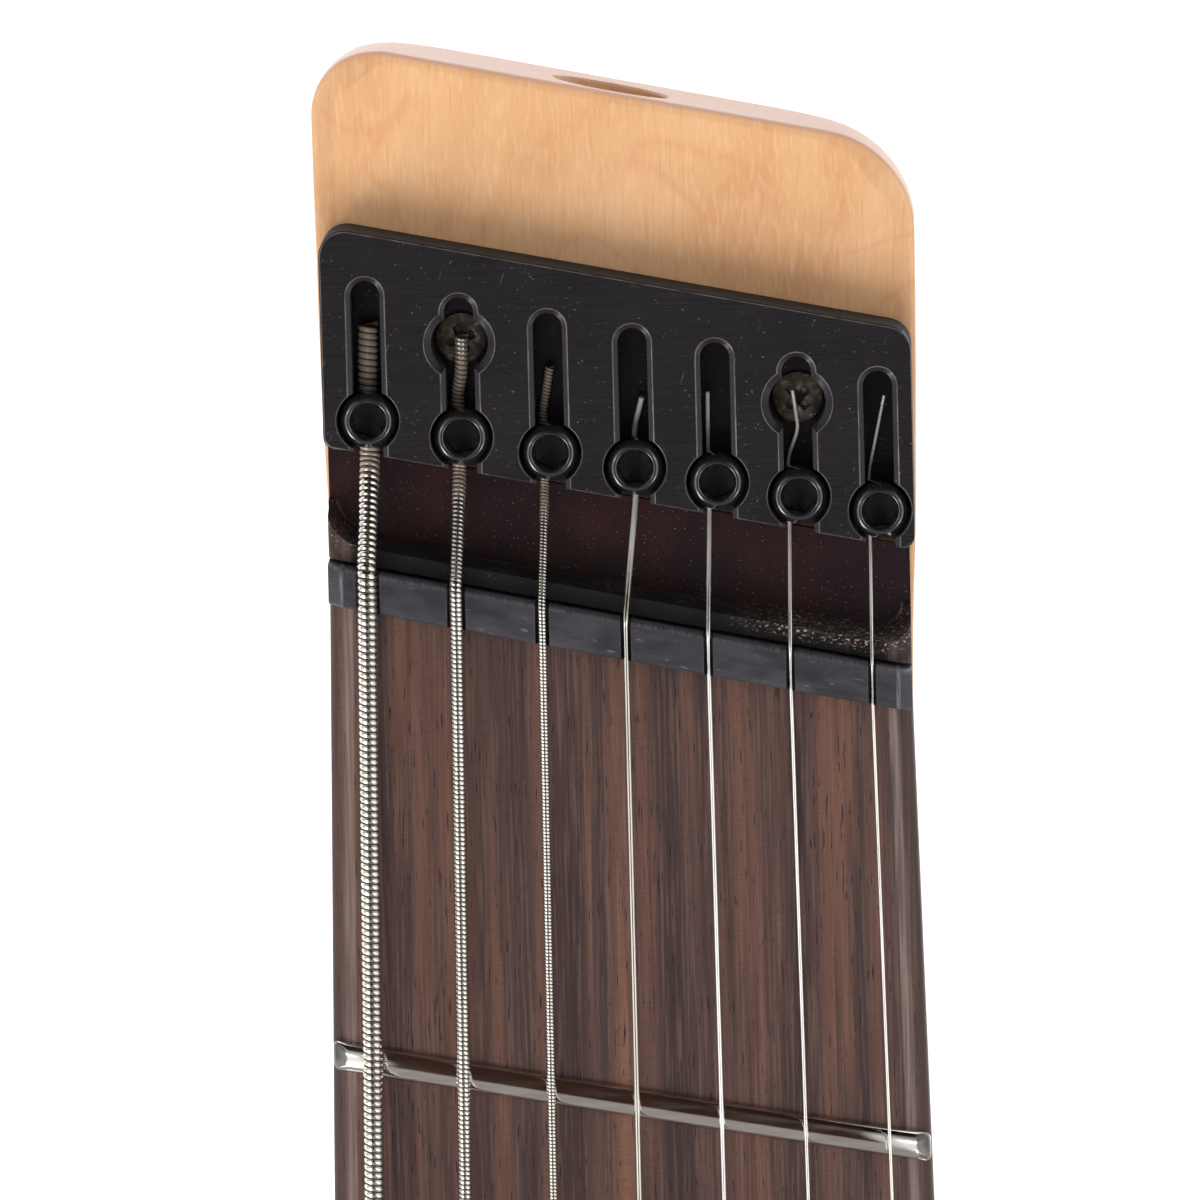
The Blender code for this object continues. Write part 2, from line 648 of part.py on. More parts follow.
def fret_bar(number):
    """One fret: a low crown that follows its fan line and the fretboard's radius."""
    y, slope = fret_line(number)
    reach = half_width(y) - FRET_INSET
    half = FRET_WIDTH / 2
    crown = [(-half, -FRET_ROOT), (-half, 0.12 * FRET_HEIGHT), (-0.62 * half, 0.78 * FRET_HEIGHT),
             (0, FRET_HEIGHT), (0.62 * half, 0.78 * FRET_HEIGHT), (half, 0.12 * FRET_HEIGHT),
             (half, -FRET_ROOT)]
    sections = []
    for step in range(5):
        x = reach * (step / 2 - 1)
        sections.append([(x, y + slope * x + a, BOARD_TOP - drop(x) + b) for a, b in crown])
    return loft("fret", sections)


def make_nut():
    sections = []
    floor = BOARD_TOP - NUT_SEAT_DEPTH
    for step in range(7):
        x = NUT_HALF_WIDTH * (step / 3 - 1)
        front, back = NUT_Y + NUT_SLOPE * x, NUT_Y + NUT_THICK + NUT_SLOPE * x
        top = BOARD_TOP - drop(x) + NUT_ACTION + 0.0004
        sections.append([(x, front, floor), (x, back, floor), (x, back, top - 0.0005), (x, front, top)])
    nut = add("nut", loft("nut", sections), NUT_GREY)
    slots = []
    for i, diameter in enumerate(STRING_DIAMETERS):
        half = diameter / 2 + CLEAR / 2
        y = NUT_Y + NUT_SLOPE * NUT_X[i]
        low = (NUT_X[i] - half, y - 0.003, nut_string_z(i) - 0.0009)
        high = (NUT_X[i] + half, y + NUT_THICK + 0.003, BOARD_TOP * 1.2)
        slots.append(box("slot", low, high))
    boolean(nut, joined("slots", slots), label="string_slots")


def plate_screw_places():
    return [(LOCK_X[i], LOCK_Y[i] + PLATE_SCREW_SETBACK) for i in PLATE_SCREW_STRINGS]


def keyhole(x, low, top, circles):
    """Plan of a channel with a round end and the round bores that lie along it."""
    half = CHANNEL_WIDTH / 2
    side = [(half, low)]
    for middle, radius in circles:
        bite = math.asin(half / radius)
        for step in range(11):
            angle = bite + (math.pi - 2 * bite) * step / 10
            side.append((radius * math.sin(angle), middle - radius * math.cos(angle)))
    for step in range(7):
        angle = math.pi / 2 * step / 6
        side.append((half * math.cos(angle), top - half + half * math.sin(angle)))
    left = [(-a, b) for a, b in reversed(side[:-1])]
    return [(x + a, b) for a, b in side + left]


def make_plate():
    def edge(x, y):
        return x, y - PLATE_SLANT * x
    top_y = PLATE_LOW_Y + PLATE_LENGTH
    left, right = PLATE_SHIFT - PLATE_HALF_WIDTH, PLATE_SHIFT + PLATE_HALF_WIDTH
    corners = [edge(left, PLATE_LOW_Y), edge(right, PLATE_LOW_Y), edge(right, top_y), edge(left, top_y)]
    radii = (PLATE_CORNER_LOW, PLATE_CORNER_LOW, PLATE_CORNER_TOP, PLATE_CORNER_TOP)
    plate = add("string_lock_plate", outline("plate", rounded(corners, radii), PLATE_UNDER, PLATE_TOP),
                BLACK_METAL)
    channels = []
    for i in range(STRINGS):
        circles = [(LOCK_Y[i], LOCK_RADIUS + CLEAR)]
        if i in PLATE_SCREW_STRINGS:
            circles.append((LOCK_Y[i] + PLATE_SCREW_SETBACK, PLATE_SCREW_HEAD + CLEAR))
        plan = keyhole(LOCK_X[i], LOCK_Y[i] - 2 * LOCK_SETBACK, LOCK_Y[i] + CHANNEL_REACH, circles)
        channels.append(outline("channel", plan, CHANNEL_Z, PLATE_TOP + 0.002))
    boolean(plate, joined("channels", channels), label="channels")
    for number, (x, y) in enumerate(plate_screw_places(), 1):
        sink = rod("sink", PLATE_SCREW_HEAD + CLEAR, (x, y, PLATE_UNDER + PLATE_SCREW_FLOOR),
                   (x, y, CHANNEL_Z + 0.001), 24)
        boolean(plate, sink, label=f"screw_{number}_sink")
        hole = rod("hole", PLATE_SCREW_SHANK + CLEAR, (x, y, 0.5 * PLATE_UNDER), (x, y, PLATE_TOP), 12)
        boolean(plate, hole, label=f"screw_{number}_hole")


def make_plate_screws():
    seat = PLATE_UNDER + PLATE_SCREW_FLOOR + CLEAR
    for number, (x, y) in enumerate(plate_screw_places(), 1):
        profile = [
            (0, seat + PLATE_SCREW_HEAD_HEIGHT),
            (PLATE_SCREW_HEAD * 0.6, seat + PLATE_SCREW_HEAD_HEIGHT * 0.9),
            (PLATE_SCREW_HEAD, seat + PLATE_SCREW_HEAD_HEIGHT * 0.5),
            (PLATE_SCREW_HEAD, seat),
            (PLATE_SCREW_SHANK, seat),
            (PLATE_SCREW_SHANK, PLATE_UNDER - PLATE_SCREW_LENGTH + 0.002),
            (0, PLATE_UNDER - PLATE_SCREW_LENGTH),
        ]
        turned(f"plate_screw_{number}", profile, SCREW_STEEL, Matrix.Translation((x, y, 0)), 16)


def clamped_z(i):
    """Height of a string's centre where its lock screw clamps it on the channel's floor."""
    return CHANNEL_Z + CLEAR + STRING_DIAMETERS[i] / 2


def make_lock_screws():
    for i in range(STRINGS):
        bottom = clamped_z(i) + STRING_DIAMETERS[i] / 2 + CLEAR
        length = PLATE_TOP - bottom
        mesh = rod("lock_screw", LOCK_RADIUS, (0, 0, bottom), (0, 0, bottom + length), 18)
        screw = add(f"lock_screw_{i + 1}", mesh, BLACK_METAL, Matrix.Translation((LOCK_X[i], LOCK_Y[i], 0)))
        x, y = LOCK_X[i], LOCK_Y[i]
        socket = rod("socket", LOCK_SOCKET / math.sqrt(3), (x, y, PLATE_TOP - LOCK_SOCKET_DEPTH),
                     (x, y, PLATE_TOP + 0.001), 6)
        boolean(screw, socket, label="socket")


def string_route(i):
    """The string from its slider over the saddle and the nut, under its lock screw to its cut end."""
    radius = STRING_DIAMETERS[i] / 2
    saddle_z = saddle_string_z(i) + radius
    slider = SADDLE_Y[i] - SLIDER_FRONT
    nut = NUT_Y + NUT_SLOPE * NUT_X[i]
    back = NUT_Y + NUT_THICK + NUT_SLOPE * NUT_X[i]
    exit_x = LOCK_X[i] + LOCK_EXIT_OFFSETS[i]
    reach = LOCK_RADIUS + CLEAR + radius
    lock = Vector((exit_x, LOCK_Y[i] - reach, clamped_z(i)))
    tail = Vector((LOCK_X[i] + TAIL_END_OFFSETS[i], LOCK_Y[i] + TAIL_LENGTHS[i], clamped_z(i)))
    over = [Vector((exit_x, LOCK_Y[i] + reach, clamped_z(i)))]
    if i in PLATE_SCREW_STRINGS:
        head = PLATE_UNDER + PLATE_SCREW_FLOOR + PLATE_SCREW_HEAD_HEIGHT + 2 * CLEAR
        lip = LOCK_Y[i] + PLATE_SCREW_SETBACK - PLATE_SCREW_HEAD - CLEAR
        over.append(Vector((LOCK_X[i], lip, head + 1.1 * radius + CLEAR)))
        tail.z = over[-1].z + CLEAR
    nut_z = nut_string_z(i) + radius
    return [
        (SADDLE_X[i], slider - SLIDER_STRING_HOLE + CLEAR, saddle_z - SLIDER_STRING_DROP),
        (SADDLE_X[i], slider, saddle_z - SLIDER_STRING_DROP),
        (SADDLE_X[i], SADDLE_Y[i] - 0.0006, saddle_z - 0.0001),
        (SADDLE_X[i], SADDLE_Y[i], saddle_z),
        (NUT_X[i], nut, nut_z),
        (NUT_X[i], back, nut_z - 0.0003),
        lock,
        *over,
        tail,
    ]


def make_strings():
    for i, diameter in enumerate(STRING_DIAMETERS):
        name = f"string_{i + 1}"
        curve = bpy.data.curves.new(name, "CURVE")
        curve.dimensions = "3D"
        curve.bevel_depth = diameter / 2
        curve.bevel_resolution = 2
        curve.use_fill_caps = True
        spline = curve.splines.new("POLY")
        route = string_route(i)
        spline.points.add(len(route) - 1)
        for place, point in zip(spline.points, route):
            place.co = (*point, 1)
        add(name, curve, STRING_STEEL)


def make_bridge_base():
    def edge(x, y):
        return x, y + SADDLE_SLOPE * x
    half = saddle_spread() / 2 + BRIDGE_CHANNEL / 2 + BASE_SIDE_WALL
    rear = -BASE_REAR_WALL - BASE_REAR_WALL_THICK
    corners = [edge(-half, rear), edge(half, rear), edge(half, BASE_FRONT), edge(-half, BASE_FRONT)]
    plan = rounded(corners, [0.002] * 4, 3)
    top = BASE_UNDER + BASE_REAR_WALL_HEIGHT
    base = add("bridge_base", outline("bridge_base", plan, BASE_UNDER, top), BLACK_METAL)
    step = slanted_bar("step", SADDLE_SLOPE, -BASE_REAR_WALL + 0.001, BASE_FRONT * 2,
                       BASE_UNDER + BASE_WALL_HEIGHT, top * 1.2, half * 1.2)
    boolean(base, step, label="step")
    channels = []
    holes = []
    for x, y in zip(SADDLE_X, SADDLE_Y):
        channels.append(box("channel", (x - BRIDGE_CHANNEL / 2, y - BASE_REAR_WALL, BASE_TOP),
                            (x + BRIDGE_CHANNEL / 2, y + CHANNEL_FRONT, top * 1.2)))
        holes.append(rod("hole", KNOB_SHAFT + CLEAR, (x, y - BASE_REAR_WALL * 0.9, KNOB_Z),
                         (x, y - BASE_REAR_WALL - 2 * BASE_REAR_WALL_THICK, KNOB_Z), 12))
    boolean(base, joined("channels", channels), label="channels")
    boolean(base, joined("holes", holes), label="shaft_holes")


def make_saddles():
    low = BASE_TOP + CLEAR
    for i in range(STRINGS):
        crest = saddle_string_z(i) - CLEAR
        profile = [
            (-SADDLE_HALF_LENGTH, low), (SADDLE_HALF_LENGTH, low),
            (SADDLE_HALF_LENGTH, low + SADDLE_SHOULDER), (0.0022, crest - 0.0012),
            (0.0008, crest - 0.0002), (0, crest), (-0.0010, crest - 0.0004),
            (-SADDLE_HALF_LENGTH, low + SADDLE_SHOULDER),
        ]
        mesh = outline("saddle", profile, -SLIDER_WIDTH / 2, SLIDER_WIDTH / 2)
        mesh.transform(Matrix(((0, 0, 1, 0), (1, 0, 0, 0), (0, 1, 0, 0), (0, 0, 0, 1))))
        add(f"saddle_{i + 1}", mesh, BLACK_METAL, Matrix.Translation((SADDLE_X[i], SADDLE_Y[i], 0)))


def make_tuners():
    low = BASE_TOP + CLEAR
    for i, (x, y) in enumerate(zip(SADDLE_X, SADDLE_Y)):
        rear = -SLIDER_FRONT - SLIDER_LENGTH
        mesh = box("slider", (-SLIDER_WIDTH / 2, rear, low),
                   (SLIDER_WIDTH / 2, -SLIDER_FRONT, low + SLIDER_HEIGHT))
        slider = add(f"tuner_slider_{i + 1}", mesh, BLACK_METAL, Matrix.Translation((x, y, 0)))
        bore = rod("bore", KNOB_SHAFT + CLEAR, (x, y + rear - 0.002, KNOB_Z),
                   (x, y + rear + SLIDER_BORE_DEPTH, KNOB_Z), 12)
        boolean(slider, bore, label="screw_bore")
        string_z = saddle_string_z(i) + STRING_DIAMETERS[i] / 2 - SLIDER_STRING_DROP
        eye = rod("eye", STRING_DIAMETERS[i] / 2 + CLEAR,
                  (x, y - SLIDER_FRONT - SLIDER_STRING_HOLE, string_z),
                  (x, y - SLIDER_FRONT + 0.001, string_z), 12)
        boolean(slider, eye, label="string_eye")
        wall = BASE_REAR_WALL + BASE_REAR_WALL_THICK + CLEAR
        slant = abs(SADDLE_SLOPE) * KNOB_RADIUS
        start = -wall - slant
        tip = rear + KNOB_SHAFT_IN_SLIDER
        profile = [
            (0, start - KNOB_LENGTH),
            (KNOB_RADIUS - KNOB_CHAMFER, start - KNOB_LENGTH),
            (KNOB_RADIUS, start - KNOB_LENGTH + KNOB_CHAMFER),
            (KNOB_RADIUS, start - KNOB_CHAMFER),
            (KNOB_RADIUS - KNOB_CHAMFER, start),
            (KNOB_SHAFT, start),
            (KNOB_SHAFT, tip),
            (0, tip),
        ]
        turn = Matrix.Translation((x, y, KNOB_Z)) @ Matrix.Rotation(math.radians(-90), 4, "X")
        turned(f"tuner_knob_{i + 1}", list(reversed(profile)), BLACK_METAL, turn)


def pickup_block(name, y, room, top):
    """Plan of a pickup along the fan at y, with room round it, from its pocket's floor up to top."""
    slope = fan(y / MEAN_SCALE)[1]
    half, wide = PICKUP_HALF_LENGTH + room, PICKUP_WIDTH / 2 + room
    plan = [(-half, y - wide - slope * half), (half, y - wide + slope * half),
            (half, y + wide + slope * half), (-half, y + wide - slope * half)]
    floor = BODY_THICK + PICKUP_PROUD - PICKUP_HEIGHT - (CLEAR if room else 0)
    return outline(name, rounded(plan, [PICKUP_CORNER] * 4, 3), floor, top)


def make_pickups():
    for name, y in (("bridge_pickup", BRIDGE_PICKUP_Y), ("neck_pickup", NECK_PICKUP_Y)):
        mesh = pickup_block(name, y, 0, BODY_THICK + PICKUP_PROUD)
        bevel(add(name, mesh, BLACK_PLASTIC), 0.0008, 1, math.radians(60))


def make_controls():
    for label, (x, y) in (("volume", VOLUME_XY), ("tone", TONE_XY)):
        place = Matrix.Translation((x, y, 0))
        top = CAVITY_CEILING - CLEAR
        nut_low = BODY_THICK + CLEAR
        nut_top = nut_low + POT_NUT_HEIGHT
        bore = STEM_RADIUS + CLEAR
        floor = top - POT_HEIGHT
        turned(f"{label}_pot", [
            (0, floor + 0.001), (bore, floor + 0.001), (bore, nut_top), (POT_NUT_RADIUS, nut_top),
            (POT_NUT_RADIUS, nut_low), (POT_BUSHING, nut_low), (POT_BUSHING, top), (POT_RADIUS, top),
            (POT_RADIUS, floor), (0, floor),
        ], ROD_STEEL, place)
        low = BODY_THICK + 2 * CLEAR
        roof = nut_top + 2 * CLEAR
        turned(f"{label}_knob", [
            (0, low + DIAL_HEIGHT), (DIAL_RADIUS - 0.001, low + DIAL_HEIGHT),
            (DIAL_RADIUS, low + DIAL_HEIGHT - 0.001), (DIAL_RADIUS, low),
            (POT_NUT_RADIUS + 2 * CLEAR, low), (POT_NUT_RADIUS + 2 * CLEAR, roof), (STEM_RADIUS, roof),
            (STEM_RADIUS, floor + 0.001 + CLEAR), (0, floor + 0.001 + CLEAR),
        ], BLACK_METAL, place, 28)


def make_switch():
    x, y = SWITCH_XY
    top = CAVITY_CEILING - CLEAR
    nut_low = BODY_THICK + CLEAR
    nut_top = nut_low + SWITCH_NUT_HEIGHT
    floor = nut_top - SWITCH_BORE_DEPTH
    wide, long, deep = SWITCH_BOX
    case = add("switch_body", box("switch", (x - wide / 2, y - long / 2, top - deep),
                                  (x + wide / 2, y + long / 2, top)), BLACK_PLASTIC)
    bushing = rod("bushing", SWITCH_BUSHING, (x, y, top - 0.002), (x, y, nut_top - 0.0005))
    boolean(case, bushing, "UNION", "bushing")
    boolean(case, rod("nut", SWITCH_NUT_RADIUS, (x, y, nut_low), (x, y, nut_top), 24), "UNION", "nut")
    boolean(case, rod("bore", SWITCH_BORE, (x, y, floor), (x, y, nut_top + 0.002)), label="bore")
    pivot = BODY_THICK - LEVER_PIVOT_DEPTH
    ball_angles = [0.55 + 0.342 * step for step in range(7)]
    ball = [(LEVER_BALL * math.sin(a), LEVER_BALL * math.cos(a)) for a in ball_angles]
    tip_angles = [0.5 * step for step in range(6)]
    tip = [(LEVER_TIP * math.sin(a), LEVER_LENGTH + LEVER_TIP * math.cos(a)) for a in tip_angles]
    profile = tip + [(LEVER_STEM, LEVER_LENGTH - 1.2 * LEVER_TIP), (LEVER_STEM * 0.95, LEVER_BALL)]
    profile += ball + [(LEVER_STEM * 0.9, -LEVER_STUB), (0, -LEVER_STUB)]
    turned("switch_lever", profile, BLACK_METAL, Matrix.Translation((x, y, pivot)), 16)


def make_jack():
    outer = BODY_OUTLINE[SIDE_POINT][0] - JACK_SINK
    profile = [
        (0, -JACK_BORE_DEPTH), (JACK_BORE_RADIUS, -JACK_BORE_DEPTH), (JACK_BORE_RADIUS, 0),
        (JACK_FLANGE_RADIUS, 0), (JACK_FLANGE_RADIUS, -JACK_FLANGE_THICK),
        (JACK_BARREL_RADIUS, -JACK_FLANGE_THICK), (JACK_BARREL_RADIUS, -JACK_LENGTH), (0, -JACK_LENGTH),
    ]
    turn = Matrix.Translation((outer, JACK_Y, JACK_Z)) @ Matrix.Rotation(math.radians(90), 4, "Y")
    turned("jack_socket", profile, BLACK_METAL, turn, 24)


def make_strap_buttons():
    for number, (x, y, way) in enumerate(button_places(), 1):
        profile = [
            (0, BUTTON_HEIGHT), (BUTTON_HEAD_RADIUS - 0.001, BUTTON_HEIGHT),
            (BUTTON_HEAD_RADIUS, BUTTON_HEIGHT - 0.001), (BUTTON_HEAD_RADIUS, BUTTON_HEIGHT - 0.0025),
            (BUTTON_WAIST_RADIUS, BUTTON_HEIGHT * 0.55), (BUTTON_WAIST_RADIUS, BUTTON_HEIGHT * 0.3),
            (BUTTON_BASE_RADIUS, CLEAR), (BUTTON_SCREW_RADIUS, CLEAR),
            (BUTTON_SCREW_RADIUS, -BUTTON_SCREW_LENGTH + 0.003), (0, -BUTTON_SCREW_LENGTH),
        ]
        turn = Matrix.Translation((x, y, BUTTON_Z)) @ Matrix.Rotation(math.radians(-90 * way), 4, "X")
        turned(f"strap_button_{number}", profile, BLACK_METAL, turn, 16)


def cover_shape(name, room, low, high):
    left, bottom = (value - COVER_LIP - room for value in CAVITY_LOW)
    right, top = (value + COVER_LIP + room for value in CAVITY_HIGH)
    plan = [(left, bottom), (right, bottom), (right, top), (left, top)]
    return outline(name, rounded(plan, [COVER_CORNER + room] * 4, 4), low, high)


def make_cover():
    mesh = cover_shape("control_cover", 0, CLEAR, CLEAR + COVER_THICK)
    add("control_cover", mesh, BLACK_PLASTIC)


def make_neck_bolts():
    for number, (x, y) in enumerate(BOLT_PLACES, 1):
        top = CLEAR + BOLT_HEAD_HEIGHT
        profile = [
            (0, bolt_top()), (BOLT_SHANK, bolt_top()), (BOLT_SHANK, top), (BOLT_HEAD_RADIUS, top),
            (BOLT_HEAD_RADIUS, CLEAR + 0.0006), (BOLT_HEAD_RADIUS - 0.0006, CLEAR), (0, CLEAR),
        ]
        turned(f"neck_bolt_{number}", profile, BLACK_METAL, Matrix.Translation((x, y, 0)), 16)


make_body()
make_neck()
make_truss_rod()
make_fretboard()
make_nut()
make_plate()
make_plate_screws()
make_lock_screws()
make_strings()
make_bridge_base()
make_saddles()
make_tuners()
make_pickups()
make_controls()
make_switch()
make_jack()
make_strap_buttons()
make_cover()
make_neck_bolts()
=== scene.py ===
"""A seven-string headless electric guitar with fanned frets, photographed at its head end.

Metres, in the frame of the CAD part: +Z out of the front, +Y towards the head, +X the treble side.
"""
import math

import bmesh
import bpy
import numpy as np
from mathutils import Matrix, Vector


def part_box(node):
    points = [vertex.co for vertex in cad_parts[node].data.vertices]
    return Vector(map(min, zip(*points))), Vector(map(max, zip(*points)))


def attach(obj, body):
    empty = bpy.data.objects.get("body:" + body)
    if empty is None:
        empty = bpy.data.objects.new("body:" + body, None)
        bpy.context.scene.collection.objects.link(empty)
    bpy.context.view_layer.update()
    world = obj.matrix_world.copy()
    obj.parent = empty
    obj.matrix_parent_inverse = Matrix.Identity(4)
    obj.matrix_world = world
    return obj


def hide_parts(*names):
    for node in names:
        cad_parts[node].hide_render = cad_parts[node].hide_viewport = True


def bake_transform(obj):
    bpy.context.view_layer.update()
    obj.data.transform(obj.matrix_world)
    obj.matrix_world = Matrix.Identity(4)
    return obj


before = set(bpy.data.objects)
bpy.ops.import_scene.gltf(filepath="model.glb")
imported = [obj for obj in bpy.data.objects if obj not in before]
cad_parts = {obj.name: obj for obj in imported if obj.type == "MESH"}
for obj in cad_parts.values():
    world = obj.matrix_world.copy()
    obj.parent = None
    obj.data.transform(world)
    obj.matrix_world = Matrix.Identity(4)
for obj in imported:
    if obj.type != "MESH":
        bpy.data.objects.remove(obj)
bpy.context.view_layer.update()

# Neck and head: one piece of hard maple, sawn to a taper, its back shaped round and its head left square.
# A thin satin lacquer covers it. The hole in the head's end leads to the truss rod, which lies inside.
nut_y = 0.6565
neck_face = 0.043
plate_gap = 0.0132  # from the nut's front to the lock plate's lower edge
head_end = nut_y + 0.0460
head_half = 0.02415
head_depth, head_power = 0.0130, 7
head_corner = 0.0066
rod_z = 0.0383
saddle_spread = 0.0624
nut_spread = 0.0411
scale_difference = 0.017  # the thickest string is this much longer than the thinnest


def fan(share):
    """Middle and slope dy/dx of the line across the neck where each string has this share of its length
    left: the slope is the strings' difference in length times the share past fret 12, over the spread."""
    spread = saddle_spread + (nut_spread - saddle_spread) * share
    return nut_y * share, -scale_difference * (share - 0.5) / spread


nut_slope = fan(1)[1]
board_end, board_end_slope = fan(0.25)[0] - 0.007, fan(0.25)[1]


def half_width(y):
    """Half the neck's width: from 32 mm at the last fret to 24.8 near the nut and 23.8 at it, then 24.15."""
    places = [fan(0.25)[0], nut_y - 0.048, nut_y, nut_y + plate_gap]
    return np.interp(y, places, [0.032, 0.0248, 0.0238, head_half])


def skin(name, grid, caps=True, crease=35, merge=True):
    """Mesh through a grid of points whose columns close into rings: each point joins the next ring and the
    next point of its ring. Caps close the first and last ring with a flat face."""
    rings, count = grid.shape[:2]
    index = np.arange(rings * count).reshape(rings, count)
    near, far = index[:-1], index[1:]
    faces = np.stack([near, np.roll(near, -1, 1), np.roll(far, -1, 1), far], -1).reshape(-1, 4).tolist()
    if caps:
        faces += [index[0].tolist(), index[-1][::-1].tolist()]
    mesh = bpy.data.meshes.new(name)
    mesh.from_pydata(grid.reshape(-1, 3), [], faces)
    return finished(mesh, crease, merge)


def finished(mesh, crease=35, merge=True):
    """The mesh with its doubles merged, its faces outwards, and smooth but for caps and sharp creases."""
    shape = bmesh.new()
    shape.from_mesh(mesh)
    if merge:
        bmesh.ops.remove_doubles(shape, verts=shape.verts, dist=1e-7)
    bmesh.ops.recalc_face_normals(shape, faces=shape.faces)
    shape.to_mesh(mesh)
    shape.free()
    mesh.shade_smooth()
    if crease < 180:
        mesh.set_sharp_from_angle(angle=math.radians(crease))
    for face in mesh.polygons:
        face.use_smooth = len(face.vertices) < 5
    return mesh


def piece(name, mesh, material, body="guitar", stands_for=()):
    """A piece of the guitar that rides on a body and takes its finish from its material; the CAD parts it
    stands for are hidden.
    """
    made = bpy.data.objects.new(name, mesh)
    bpy.context.scene.collection.objects.link(made)
    mesh.materials.append(material)
    if body:
        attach(made, body)
    if stands_for:
        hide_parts(*stands_for)
    return made


def set_socket(material, socket, value):
    """Puts a plain value, or another node's output, on a socket."""
    if isinstance(value, bpy.types.NodeSocket):
        material.node_tree.links.new(value, socket)
    elif socket.type == "RGBA":
        socket.default_value = (*value, 1)
    else:
        socket.default_value = value


def finish(name, **values):
    """A new material, with values on the sockets of its own shader."""
    material = bpy.data.materials.new(name)
    material.use_nodes = True
    feed(material, **values)
    return material


def feed(material, **values):
    """Sets sockets of the material's shader, each named with _ for its spaces."""
    shader = material.node_tree.nodes["Principled BSDF"]
    for name, value in values.items():
        set_socket(material, shader.inputs[name.replace("_", " ")], value)


def node(material, kind, sockets=None, **settings):
    """A new node of the material, with its settings and the values of its sockets."""
    made = material.node_tree.nodes.new("ShaderNode" + kind)
    for name, value in settings.items():
        setattr(made, name, value)
    for key, value in (sockets or {}).items():
        set_socket(material, made.inputs[key], value)
    return made


def pattern(material, size, detail=2.0, distortion=0.0, turn=0.0):
    """Noise on the Object coordinates, turned about Z, in patches about size (x, y, z) metres across."""
    place = node(material, "TexCoord").outputs["Object"]
    turned = node(material, "Mapping", {"Vector": place, "Rotation": (0, 0, turn)}).outputs[0]
    scale = tuple(1 / value for value in size)
    scaled = node(material, "Mapping", {"Vector": turned, "Scale": scale}).outputs[0]
    sockets = {"Vector": scaled, "Scale": 1.0, "Detail": detail, "Distortion": distortion}
    return node(material, "TexNoise", sockets).outputs[0]


def ramp(material, factor, *stops):
    """A colour ramp over the factor: stops are (place, colour) or (place, grey level)."""
    made = node(material, "ValToRGB", {"Fac": factor})
    elements = made.color_ramp.elements
    while len(elements) < len(stops):
        elements.new(0.5)
    for element, (place, value) in zip(elements, stops):
        element.position = place
        element.color = (*value, 1) if isinstance(value, tuple) else (value, value, value, 1)
    return made.outputs[0]


def mix(material, factor, first, second, blend="MIX"):
    """Two colours mixed by a factor."""
    sockets = {0: factor, 6: first, 7: second}
    return node(material, "Mix", sockets, data_type="RGBA", blend_type=blend).outputs[2]


def maths(material, operation, first, second=0.0):
    """A Math node over two values."""
    return node(material, "Math", {0: first, 1: second}, operation=operation).outputs[0]


def span(material, value, low, high):
    """How far a value has come from low to high, between 0 and 1."""
    return node(material, "MapRange", {0: value, 1: low, 2: high}).outputs[0]


def product(material, *values):
    """The values multiplied in turn."""
    result = values[0]
    for value in values[1:]:
        result = maths(material, "MULTIPLY", result, value)
    return result


def axis(material, source, letter):
    """X, Y or Z of the surface's Normal, or of its Object or Generated coordinates."""
    place = node(material, "NewGeometry" if source == "Normal" else "TexCoord").outputs[source]
    return node(material, "SeparateXYZ", {0: place}).outputs[letter]


def grain(material, size, *stops, detail=2, distortion=0.0, turn=0.0):
    """A ramp over a noise pattern."""
    return ramp(material, pattern(material, size, detail, distortion, turn), *stops)


def layered(material, tone, *layers):
    """A colour with others laid over it in turn, each as (how much, colour)."""
    for amount, colour in layers:
        tone = mix(material, amount, tone, colour)
    return tone


def bump(material, height, distance, strength=1.0):
    """Bump of the shader's normal by a height from 0 to 1 that stands for a depth in metres."""
    sockets = {"Height": height, "Distance": distance, "Strength": strength}
    feed(material, Normal=node(material, "Bump", sockets).outputs[0])


def mottled(name, size, tones, roughness, detail=3, distortion=0.0, relief=None, **values):
    """A finish whose colour and roughness are ramps over one noise. Its relief is (depth, strength)."""
    material = finish(name, **values)
    noise = pattern(material, size, detail, distortion)
    feed(material, Base_Color=ramp(material, noise, *tones), Roughness=ramp(material, noise, *roughness))
    if relief:
        bump(material, noise, *relief)
    return material


maple = finish("satin_maple", Coat_Weight=0.35, Coat_Roughness=0.30)
rays = pattern(maple, (0.00032, 0.0017, 0.0008), 2)
figure = grain(maple, (0.011, 0.026, 0.011), (0.30, (0.640, 0.325, 0.146)), (0.52, (0.708, 0.392, 0.188)),
               (0.72, (0.735, 0.423, 0.217)), detail=3, distortion=1.4, turn=0.25)
ring_line = grain(maple, (0.016, 0.030, 0.016), (0.47, 0.0), (0.50, 0.45), (0.54, 0.0), detail=1,
                  distortion=2.2)
fibres = grain(maple, (0.00016, 0.0042, 0.0004), (0.55, 0.0), (0.75, 0.35))
# Faces turned towards the head end get a paler, pinkish tone. This is partly the end grain's own colour and
# partly a painted sheen of the bright room that the end face mirrors at a grazing angle.
end_grain_and_sheen = span(maple, axis(maple, "Normal", "Y"), 0.20, 0.75)
maple_tone = layered(
    maple, figure, (ring_line, (0.645, 0.292, 0.137)),
    (ramp(maple, rays, (0.50, 0.0), (0.72, 0.50)), (0.785, 0.498, 0.275)),
    (fibres, (0.510, 0.222, 0.098)), (end_grain_and_sheen, (0.615, 0.350, 0.255)))
feed(maple, Base_Color=maple_tone, Roughness=ramp(maple, rays, (0.3, 0.36), (0.8, 0.46)))
bump(maple, rays, 0.00004, 0.5)

neck_edge = 0.0005


def eased(distance, radius):
    """How far a rounded edge lies below its face, at a distance from the outline: a quarter circle."""
    share = 1 - np.clip(distance / radius, 0, 1)
    return radius * (1 - np.sqrt(1 - share ** 2))


near_side = neck_edge * (1 - np.sin(np.radians([90, 60, 30, 0])))


